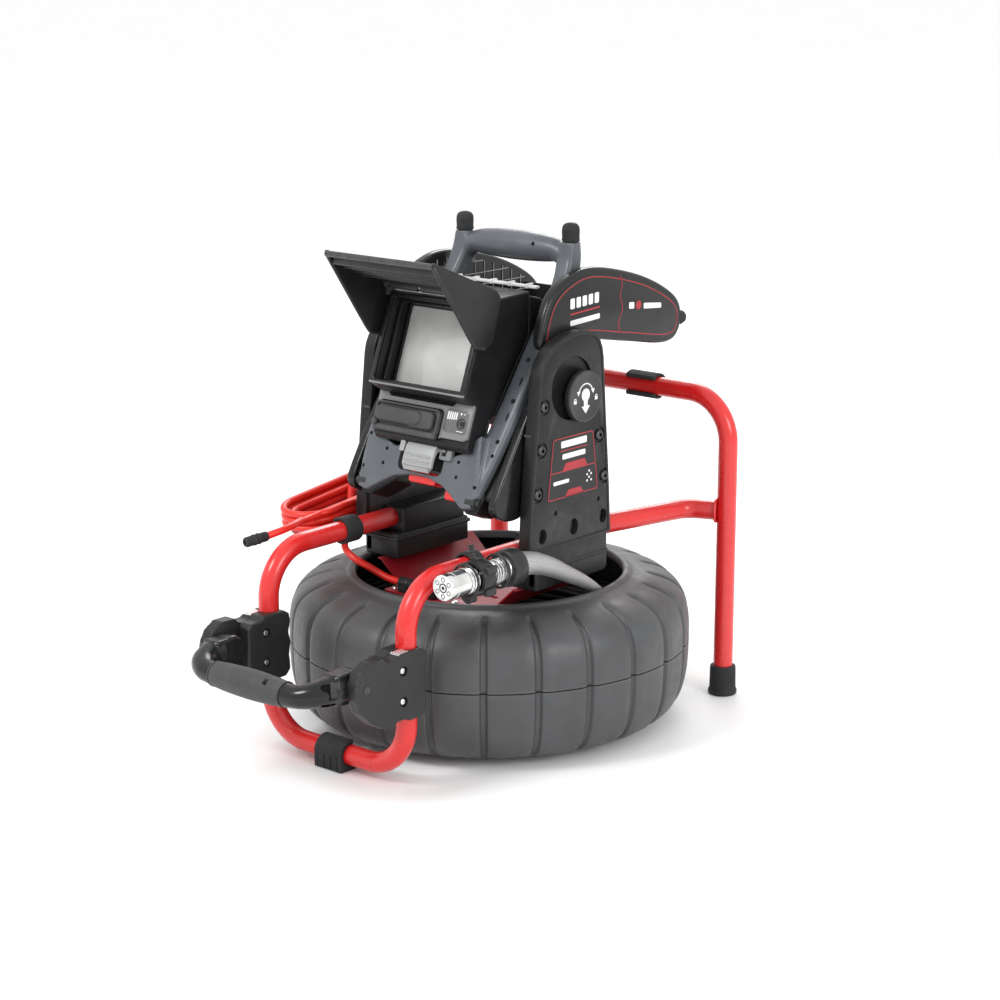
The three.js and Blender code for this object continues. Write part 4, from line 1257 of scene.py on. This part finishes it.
def make_latch():
    """Light grey finger paddle with three pairs of ridges, on its cross pin."""
    side_view = [(22.0, -70.5), (21.6, -60), (22.6, -50), (24.6, -46), (32, -46), (32, -50), (27.4, -51.6),
                 (25.6, -58), (25.4, -71), (24, -72.4), (22.6, -72)]
    paddle = soft_prism(side_view, "x", -15.6, 20.6, 0.8, 3)
    corners = [block(x0, x1, 10, 40, -90, -67.4) for x0, x1 in ((-20, -12.6), (17.6, 25))]
    paddle = cut(paddle, *corners)
    toe = bevelled(panel(-15.0, 20.0, -71.4, -62, 5.5, 21.9, 25.2), 0.7, 2)
    ridges = []
    for i in range(3):
        for step in (0, 1.8):
            ridges.append(rod("x", 0.75, 31.6, 2.5, 21.6, -57.4 - 4.9 * i - step, 12, 0.3))
    pin = rod("x", 2, 55, 0, 30, -48, 24, 0.5)
    post = bevelled(panel(-24.6, -18.6, -56, -43.4, 1.4, 24, 30), 0.8, 2)
    leaning("release_paddle", joined(paddle, toe, *ridges, post, pin), LATCH_PLASTIC, "latch",
            ["latch_paddle"])
    hook = cut(bevelled(panel(22.6, 37, -57, -41.6, 2, 27.4, 32.6), 0.8, 2),
               panel(25, 31.4, -53.6, -44.4, 1.2, 20, 40))
    leaning("latch_hook", hook, LIP_GREY)
    tabs = [bevelled(panel(x0, x1, z0, z1, 3.2, 34, 48), 1.6, 4)
            for x0, x1, z0, z1 in ((-14, 20, -82, -70.5), (34, 58, -92, -81))]
    leaning("red_dock_pads", joined(*tabs), RED_PAINT)


# ------------------------------------------------------------------ monitor: hood
HOOD_HALF = 67


def make_hood():
    wing_shape = rounded([(-152.4, 467), (-151, 460), (-98, 386), (-82, 379.5), (-72, 384), (-60, 424),
                          (-66, 432)], 6)
    top = soft_prism([(-152, 466), (-74, 432), (-70, 429), (-71, 426), (-75, 426.5), (-151.5, 461.8)], "x",
                     0.7 - HOOD_HALF, HOOD_HALF - 0.7, 1.1, 3)
    wings = [soft_prism(wing_shape, "x", *sorted((side * (HOOD_HALF - 3.2), side * HOOD_HALF)), 1.0, 3)
             for _, side in SIDES]
    ribs = []
    for i in range(4):
        y = -146 + 12.5 * i
        z = 460.4 - 0.447 * (y + 151.5)
        ribs.append(soft_block(-63.4, 63.4, y, y + 3.4, z - 5.6 + 0.5 * i, z + 1.6, 1.1, 3))
    lip = tube([Vector((x, -151, 462.8)) for x in (-65.6, 65.6)], 2.9, sides=5)
    edges = []
    for _, side in SIDES:
        edge = [(side * (HOOD_HALF - 1.6), -151.4, 463), (side * (HOOD_HALF - 1.6), -124, 423.6),
                (side * (HOOD_HALF - 1.6), -99, 388.2), (side * (HOOD_HALF - 1.6), -92, 382.6),
                (side * (HOOD_HALF - 1.6), -83, 380.6)]
        edges.append(tube(smooth_path(edge, 5), 1.9, sides=4))
    knuckles = [rod("x", 4.4, 34, x, -75, 427, 28, 0.8) for x in (-38, 0, 38)]
    body = joined(top, *wings, *ribs, lip, *edges, *knuckles)
    piece("sun_hood", body, HOOD_BLACK, "hood_flap", ["screen_hood"], 40)


# ------------------------------------------------------------------ monitor: back, cheeks, fins, tray
FIN = [(-38, 386), (-25, 420), (2, 438), (40, 444), (104, 431), (152, 412), (176, 393), (176, 368),
       (154, 357),
       (90, 367), (20, 378), (-26, 373)]


def make_back():
    outside = [(-10, 420), (-11.8, 382.2), (-45.5, 336.2), (-60, 315), (-34, 297), (8, 299), (27, 324),
               (33, 364),
               (27, 394), (8, 415)]
    shell_body = moulded(prism(outside, "x", -HOUSING_X, HOUSING_X), 1.5, 10)
    vents = [panel(-30 + 8 * i, -26.4 + 8 * i, 334, 372, 1.7, 26, 50, 4) for i in range(8)]
    bores = rod("x", 6.4, 140, 0, PIVOT_Y, PIVOT_Z, 32)
    shell_body = cut(shell_body, *vents, bores)
    piece("monitor_back", shell_body, NYLON, "monitor", ["rear_cover"], 40)
    pack = soft_prism([(30, 384), (36.4, 380), (39.4, 352), (36.4, 318), (29, 314)], "x", -44, 44, 2.2, 4)
    piece("battery_pack", pack, GLOSS_GREY, "monitor")
    screws = [moved(lathe([(0, 0), (3.2, 0), (3.0, 1.0), (2.0, 1.6), (0, 1.8)], "y", (0, 0, 0), 24),
                    shift(x, 33 if z > 350 else 27, z)) for x in (-51, 51) for z in (320, 376)]
    piece("back_screws", joined(*screws), STEEL, "monitor")


def make_cheeks():
    outline_points = [(-101, 240), (-94, 253), (-77, 281), (-50, 323), (-22, 364), (0, 392), (22, 396),
                      (30, 376), (33, 340), (25, 300), (6, 272), (-20, 250), (-44, 232), (-66, 222),
                      (-84, 222), (-99, 230)]
    for label, side in SIDES:
        def build():
            slab = soft_prism(rounded(outline_points, 8), "x", CHEEK_IN, CHEEK_OUT, 2.0, 4)
            return cut(slab, rod("x", 6.4, 40, 90, PIVOT_Y, PIVOT_Z, 32))
        piece(f"{label}_cheek_cover", mirrored(side, build), GLOSS_BLACK, "monitor", [f"{label}_cheek"])


def make_fins():
    shape = flat_path(FIN, 7, True)
    film = inset(shape, 6.5)
    for label, side in SIDES:
        def body():
            return soft_prism(shape, "x", CHEEK_IN, FIN_OUT, 3.2, 5)

        def label_film():
            return soft_prism(film, "x", FIN_OUT - 0.2, FIN_PRINT + 0.1, 0.25, 2)

        def stripes():
            border = frame_line(inset(film, 1.8), "x", FIN_PRINT, FIN_PRINT + 0.25, 0.9)
            wave = [(78, 432), (82, 424), (79, 412), (83, 400), (77, 388), (79, 377)]
            points = flat_path(wave, 6)
            ribbon = [(y - 0.45, z) for y, z in points] + [(y + 0.45, z) for y, z in reversed(points)]
            rule = [(4, 404.6), (48, 406.8), (48, 405.3), (4, 403.1)]
            dot = arc(108, 400, 4.2, 0, 360, 24)[:-1]
            return joined(border, prism(ribbon, "x", FIN_PRINT, FIN_PRINT + 0.25),
                          prism(rule, "x", FIN_PRINT, FIN_PRINT + 0.25),
                          prism(dot, "x", FIN_PRINT, FIN_PRINT + 0.25))

        def bars():
            shapes = [[(u, 408.6 + 0.04 * u), (u + 6.4, 408.8 + 0.04 * u), (u + 6.4, 418.6 + 0.04 * u),
                       (u, 418.4 + 0.04 * u)]
                      for u in (4, 13, 22, 31, 40)]
            shapes += [[(4, 393), (48, 395), (48, 400), (4, 398)],
                       [(93, 398), (101, 397.4), (101, 403.6), (93, 404.4)],
                       [(116, 395.4), (144, 392.8), (144, 397.8), (116, 401)]]
            return joined(*[prism(rounded(s, 1.4), "x", FIN_PRINT, FIN_PRINT + 0.25) for s in shapes])

        piece(f"{label}_fin_shell", mirrored(side, body), GLOSS_BLACK, "monitor", [f"{label}_fin"],
              30)
        piece(f"{label}_fin_film", mirrored(side, label_film), LABEL_GREY, "monitor")
        piece(f"{label}_fin_stripes", mirrored(side, stripes), LABEL_RED, "monitor")
        piece(f"{label}_fin_bars", mirrored(side, bars), LABEL_WHITE, "monitor")
        bumper = lathe([(0, 14), (3.6, 13.2), (6.2, 10.6), (7.2, 7), (6.8, 3), (5.2, 0), (0, 0)], "y",
                       (side * 90, 175, 378), 36)
        piece(f"{label}_rear_bumper", bumper, RUBBER, "monitor")


def crossing(points, start, end):
    """Where a straight line enters and leaves a closed outline."""
    u0, v0 = start
    du, dv = end[0] - u0, end[1] - v0
    hits = []
    for (ua, va), (ub, vb) in zip(points, points[1:] + points[:1]):
        below = du * (va - v0) - dv * (ua - u0)
        above = du * (vb - v0) - dv * (ub - u0)
        if (below < 0) != (above < 0):
            share = below / (below - above)
            hits.append((ua + share * (ub - ua), va + share * (vb - va)))
    hits.sort(key=lambda hit: (hit[0] - u0) * du + (hit[1] - v0) * dv)
    return hits[0], hits[-1]


def make_storage_tray():
    floor_plate = soft_prism(rounded_box(-84, 84, 52, 160, 4), "z", 376, 379, 0.8, 2)
    back_wall = soft_block(-84, 84, 157, 160, 376, 398, 1.0, 3)
    ribs = [soft_block(-82, 82, y, y + 1.6, 379, 381, 0.5, 2) for y in (66, 84, 102, 120, 138)]
    piece("tray_shelf", joined(floor_plate, back_wall, *ribs), NYLON, "monitor", ["storage_tray"])
    area = inset(flat_path(FIN, 7, True), 7)
    mesh_lines = [((y, 300), (y, 500)) for y in range(-8, 160, 14)] + [((-60, z), (220, z))
                                                                       for z in (392, 404, 416, 428)]
    wires = []
    for start, end in mesh_lines:
        low, high = crossing(area, start, end)
        for side in (-1, 1):
            wires.append(tube([Vector((side * 83.8, *low)), Vector((side * 83.8, *high))], 0.45, sides=2))
    piece("tray_net", joined(*wires), LATCH_PLASTIC, "monitor")
    strip = soft_block(-50, 56, 2, 8, 424, 426.4, 0.6, 2)
    clips = [soft_block(x, x + 3, 0.6, 9.4, 423.6, 428, 0.6, 2) for x in (-44, -22, 0, 22, 44)]
    piece("clip_strip", joined(strip, *clips), CLEAR_FILM, "monitor")


make_monitor_frame()
make_housing()
make_status_panel()
make_port_door()
make_latch()
make_hood()
make_back()
make_cheeks()
make_fins()
make_storage_tray()

# ------------------------------------------------------------------ front handle and its clamps
UPRIGHT_Y = -214
HINGE_Y, HINGE_Z = -278, 112
GRIP_Y, GRIP_Z = -321, 107
CLAMP_REAR = [(-222, 69), (-206, 70), (-200, 76), (-201.5, 90), (-199.5, 102), (-202, 112), (-199.5, 122),
              (-200.5, 130), (-207, 134)]
CLAMP_OUTER = CLAMP_REAR + [(-234, 134), (-240, 130), (-252, 130), (-257, 135), (-273, 135.5), (-285, 128.5),
                            (-291, 117), (-290, 104), (-284, 90), (-272, 78.5), (-259, 71), (-243, 69),
                            (-240, 72.5), (-230, 72.5)]
CLAMP_INNER = CLAMP_REAR + [(-234, 134), (-240, 130), (-250, 130), (-254, 126), (-254, 78), (-248, 71),
                            (-240, 72), (-230, 72)]
CLAMP_SCREWS = ((-231, 117.5), (-231, 89))


def make_clamp(label, side):
    def bore():
        return rod("z", 10.3, 120, 87, UPRIGHT_Y, 105, 48)

    def outer():
        shape = moulded(prism(CLAMP_OUTER, "x", 86.6, 100), 1.25, 6)
        wells = [rod("x", 4.8, 6, 100.6, y, z, 32) for y, z in CLAMP_SCREWS]
        notch = block(91, 98, -236, -226, 131.5, 150)
        return cut(shape, bore(), block(60, 87.1, -320, -180, 50, 160), notch, *wells)

    def inner():
        shape = moulded(prism(CLAMP_INNER, "x", 72.8, 87.6), 1.25, 6)
        wells = [rod("x", 4.8, 6, 72, y, z, 32) for y, z in CLAMP_SCREWS]
        return cut(shape, bore(), block(86.9, 110, -320, -180, 50, 160), *wells)

    def screws():
        heads = []
        for y, z in CLAMP_SCREWS:
            heads.append(cut(lathe([(0, 0), (3.5, 0), (3.4, 1.0), (2.6, 2.0), (1.4, 2.5), (0, 2.6)], "x",
                                   (97.2, y, z), 32),
                             rod("x", 1.1, 3, 100.2, y, z, 6)))
            heads.append(lathe([(0, 0), (3.5, 0), (3.4, -1.0), (2.6, -2.0), (0, -2.6)],
                               "x", (75.4, y, z), 32))
        return joined(*heads)

    def clip():
        spring = soft_block(88, 98.4, -236.6, -222, 132.2, 133.4, 0.4, 2)
        lips = [rod("y", 1.0, 13, x, -229.4, 133.6, 12, 0.3) for x in (89.6, 92.2, 94.8, 97.4)]
        return joined(spring, *lips)

    def pin():
        return joined(lathe([(0, 0), (3.6, 0), (3.6, 0.2), (3.2, 0.5), (0, 0.5)], "x",
                            (99.6, HINGE_Y, HINGE_Z), 40),
                      rod("x", 4, 31.8, 85, HINGE_Y, HINGE_Z, 28, 0.5))

    piece(f"{label}_clamp_shell", mirrored(side, outer), CLAMP_BLACK, "frame", [f"{label}_clamp_outer"],
          38)
    piece(f"{label}_clamp_back", mirrored(side, inner), CLAMP_BLACK, "frame", [f"{label}_clamp_inner"],
          38)
    piece(f"{label}_clamp_screws", mirrored(side, screws), CHROME, "frame")
    piece(f"{label}_clamp_clip", mirrored(side, clip), CHROME, "frame")
    piece(f"{label}_hinge_pin", mirrored(side, pin), DARK_STEEL, "frame", [f"{label}_handle_pin"])


def handle_arm():
    """One arm of the handle: round root on the hinge, ribbed neck, and the reach to the grip."""
    root = rod("x", 15, 19.4, 76, HINGE_Y, HINGE_Z, 56, 2.0)
    neck = block(66.5, 85.5, -298, HINGE_Y, 98, 126)
    points = [(76, -288, 112), (75.5, -300, 111.5), (70, -312, 109.6), (60, -319.4, 107.8), (50, -321, 107),
              (42, -321, 107)]
    sizes = [14, 13.2, 11.8, 10.6, 10.6, 11.2]
    reach = tube(smooth_path(points, 5), 1.0, smooth_values(sizes, 5), sides=8)
    arm = moulded(union(root, neck, reach), 1.2, 6)
    turn = shift(82, -300, 0) @ spun("Z", -42)
    pocket = moved(soft_block(-9, 9, -12, 2, 107, 121, 2.0, 3), turn)
    slot = moved(soft_block(-9, 9, -12, 1, 100.5, 103.5, 1.0, 2), turn)
    ribs = [moved(block(x, x + 1.3, -3.4, 5, 106, 122), turn) for x in (-5.6, -1.2, 3.2)]
    return joined(cut(arm, pocket, slot), *ribs)


def make_handle():
    arms = [mirrored(side, handle_arm) for _, side in SIDES]
    core = rod("x", 6.5, 100, 0, GRIP_Y, GRIP_Z, 32)
    piece("carry_handle_arms", joined(*arms, core), GLOSS_BLACK, "front_handle", ["front_handle_frame"],
          38)
    barrel = lathe([(6.4, -43.4), (10.6, -43.4), (11.5, -42.8), (12.6, -30), (13.4, -12), (13.6, 0),
                    (13.4, 12), (12.6, 30),
                    (11.5, 42.8), (10.6, 43.4), (6.4, 43.4)], "x", (0, GRIP_Y, GRIP_Z), 72, closed=True)
    seams = [lathe([(11.2, h - 0.5), (11.9, h - 0.4), (11.9, h + 0.4), (11.2, h + 0.5)], "x",
                   (0, GRIP_Y, GRIP_Z), 72,
                   closed=True) for h in (-44, 44)]
    slot = soft_block(24, 29, -331, -326, 113, 121, 0.6, 2)
    piece("carry_handle_grip", joined(cut(barrel, slot), *seams), GRIP_RUBBER, "front_handle",
          ["front_handle_grip"],
          38)
    tip = joined(rod("y", 3.2, 9, -79, -310, 105, 24, 0.8), rod("y", 5.0, 3, -79, -310, 105, 6, 0.3))
    piece("handle_bolt_tip", tip, CHROME, "front_handle")


for clamp_label, clamp_side in SIDES:
    make_clamp(clamp_label, clamp_side)
make_handle()

# ------------------------------------------------------------------ camera head, guides and braided sleeve
HEAD_FRONT, LENS_R = -199.0, 10.4
RIVET_RING = 7.6
CAM_X, CAM_Z = 118, 190
CAM_LINE = (CAM_X, 0, CAM_Z)


def round_ring(radius, wire, place, steps=10):
    """A ring of round wire about the camera's axis."""
    profile = [(radius + u, place + v) for u, v in polygon(wire, steps)]
    return lathe(profile, "y", CAM_LINE, 56, closed=True)


def helix(radius, start, end, pitch, wire, steps=24):
    count = int((end - start) / pitch * steps)
    path = []
    for i in range(count + 1):
        angle = math.tau * i / steps
        path.append(Vector((CAM_X + radius * math.cos(angle), start + (end - start) * i / count,
                            CAM_Z + radius * math.sin(angle))))
    return tube(path, wire, sides=3)


def around(angle, radius):
    """A point at this angle and distance from the camera's axis, as (x, z)."""
    turn = math.radians(angle)
    return CAM_X + radius * math.cos(turn), CAM_Z + radius * math.sin(turn)


def make_camera_head():
    profile = [(0, -197.4), (10.7, -197.4), (10.7, -199), (11.5, -199), (12, -198.2), (12, -190.6),
               (11.5, -190),
               (11.5, -189.2), (12, -188.6), (12, -173), (11.2, -172.2), (11.2, -141), (9.5, -139),
               (9.5, -137),
               (0, -137)]
    body = lathe(profile, "y", CAM_LINE, 72)
    rings = [round_ring(11.4, 0.85, -171.2 + 2.1 * i) for i in range(5)]
    piece("camera_barrel", joined(body, *rings), CHROME, "frame", ["camera_head"])
    window = lathe([(0, -198.7), (LENS_R, -198.7), (10.5, -198.2), (10.5, -197.4), (0, -197.4)],
                   "y", CAM_LINE, 56)
    piece("camera_window", window, LENS, "frame", ["camera_lens"])
    def light_ring(inner, outer, centre, sides):
        profile = [(inner, HEAD_FRONT), (outer, HEAD_FRONT), (outer, -198.6), (inner, -198.6)]
        return lathe(profile, "y", centre, sides, closed=inner > 0)

    marks = [light_ring(3.2, 4.4, CAM_LINE, 40), light_ring(0, 1.7, CAM_LINE, 24)]
    for i in range(6):
        x, z = around(60 * i + 30, RIVET_RING)
        marks.append(light_ring(1.6, 2.2, (x, 0, z), 24))
    piece("camera_light_rings", joined(*marks), NYLON, "frame")
    piece("camera_coil", helix(10.2, -143, -99.5, 3.5, 1.25), STEEL, "frame", ["camera_spring"])
    core = lathe([(0, -139), (7.4, -139), (7.4, -99), (0, -99)], "y", CAM_LINE, 32)
    piece("camera_core", core, NYLON, "frame")


def make_guides():
    collar = bevelled(lathe([(12.4, -160), (15.8, -160), (16.6, -156), (16.6, -148), (15.8, -144),
                             (12.4, -144)], "y",
                            CAM_LINE, 56, closed=True), 0.6, 2)
    parts = [collar, round_ring(15.0, 1.25, -168.5)]
    for i in range(5):
        x, z = around(105 + 72 * i, 15.0)
        parts.append(rod("y", 1.4, 12, x, -163.5, z, 14, 0.3))
    for angle in (33, -39):
        x, z = around(angle, 17.6)
        parts.append(soft_block(x - 3.6, x + 3.6, -158.5, -145.5, z - 3.6, z + 3.6, 2.0, 4))
    peg = joined(rod("z", 2.3, 16, 0, 0, 22, 20, 0.8),
                 *[rod("z", 3.2, 1.3, 0, 0, 18 + 2.8 * i, 20, 0.4) for i in range(5)])
    foot = bevelled(moved(rod("y", 6.4, 9, 0, 0, 0, 32), Matrix.Diagonal((1.0, 1.0, 0.8, 1))), 1.2, 3)
    for shape, angle, reach, place in ((peg, 15, 0, -153), (foot, 160, 20.5, -156)):
        lift = shift(CAM_X, place, CAM_Z) @ spun("Y", -angle)
        parts.append(moved(shape, lift @ shift(0, 0, reach)))
    x, z = around(177, 16.6)
    parts.append(soft_block(x - 2.2, x + 2, -158, -146, z - 3, z + 3, 1.0, 3))
    piece("camera_star_guide", joined(*parts), CLAMP_BLACK, "frame", ["front_guide"])

    band = lathe([(11.6, -117), (15.6, -117.4), (17.0, -116), (17.6, -112), (17.6, -105), (16.8, -101),
                  (15.2, -99.2),
                  (11.8, -99.2)], "y", CAM_LINE, 64, closed=True)
    piece("camera_rear_band", band, CLAMP_BLACK, "frame", ["rear_guide"])
    rail_ring = bevelled(lathe([(11.1, -136), (13.6, -136), (13.6, -120), (11.1, -120)], "y",
                               (87, 0, RAIL_Z), 48,
                               closed=True), 0.6, 2)
    bridge = soft_block(97, 106.4, -136, -121, 176, 185, 1.2, 3)
    hoop = [round_ring(15.2, 1.3, -126)]
    bars = [rod("y", 1.5, 10, around(a, 15.2)[0], -121, around(a, 15.2)[1], 14, 0.3) for a in (100, 220)]
    bars.append(rod("x", 1.8, 6, 104.6, -126, 184, 16, 0.4))
    piece("camera_rail_holder", joined(rail_ring, bridge, *hoop, *bars), CLAMP_BLACK, "frame",
          ["camera_holder"])


def sleeve_skin(points, radii, sides=48):
    """A tapering tube with its own UVs: X once round, Y once along."""
    path = smooth_path(points, 10)
    sizes = smooth_values(radii, 10)
    bm = bmesh.new()
    layer = bm.loops.layers.uv.new("UVMap")
    rows = []
    normal = Vector((0, 0, 1))
    for i, point in enumerate(path):
        tangent = (path[min(i + 1, len(path) - 1)] - path[max(i - 1, 0)]).normalized()
        normal = (normal - tangent * normal.dot(tangent)).normalized()
        binormal = tangent.cross(normal)
        rows.append([bm.verts.new(point + sizes[i] * (math.cos(math.tau * k / sides) * normal
                                                      + math.sin(math.tau * k / sides) * binormal))
                     for k in range(sides)])
    for i in range(len(rows) - 1):
        for k in range(sides):
            after = (k + 1) % sides
            face = bm.faces.new((rows[i][k], rows[i][after], rows[i + 1][after], rows[i + 1][k]))
            corners = ((k, i), (k + 1, i), (k + 1, i + 1), (k, i + 1))
            for loop, (u, v) in zip(face.loops, corners):
                loop[layer].uv = (u / sides, v / (len(rows) - 1))
    bm.faces.new(rows[0])
    bm.faces.new(reversed(rows[-1]))
    bmesh.ops.recalc_face_normals(bm, faces=bm.faces)
    return object_of(bm)


def make_sleeve():
    points = [(118, -99, 190), (118.4, -92, 189.6), (120, -76, 187), (123, -56, 179.6), (124.4, -34, 168.4),
              (124, -12, 157.4), (121.6, 12, 143), (114, 40, 124), (104, 62, 112), (96, 78, 106)]
    radii = [11.4, 11.3, 10.6, 9.2, 7.8, 6.6, 5.6, 5.0, 4.6, 4.4]
    piece("cable_braid", sleeve_skin(points, radii), BRAID, "frame", ["cable_sleeve"])


make_camera_head()
make_guides()
make_sleeve()

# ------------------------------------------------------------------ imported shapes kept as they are
CARRIED = {"hub_axle": STEEL, "axle_bearing": DARK_STEEL, "slip_ring": NYLON, "pivot_shaft": DARK_STEEL,
           "hood_pin": STEEL,
           "main_board": BOARD}

for node_name, node_material in CARRIED.items():
    node = bpy.data.objects[node_name]
    for material_slot in node.material_slots:
        material_slot.material = node_material

# ------------------------------------------------------------------ floor
floor = object_of(bmesh.new())
floor_mesh = bmesh.new()
bmesh.ops.create_grid(floor_mesh, x_segments=4, y_segments=4, size=40)
floor_mesh.to_mesh(floor.data)
floor_mesh.free()
floor.name = "floor"
floor.data.materials.append(surface("pale_floor", (0.93, 0.93, 0.93), 0.9, 40, 0.02, 0.0001, 0.004, 3))
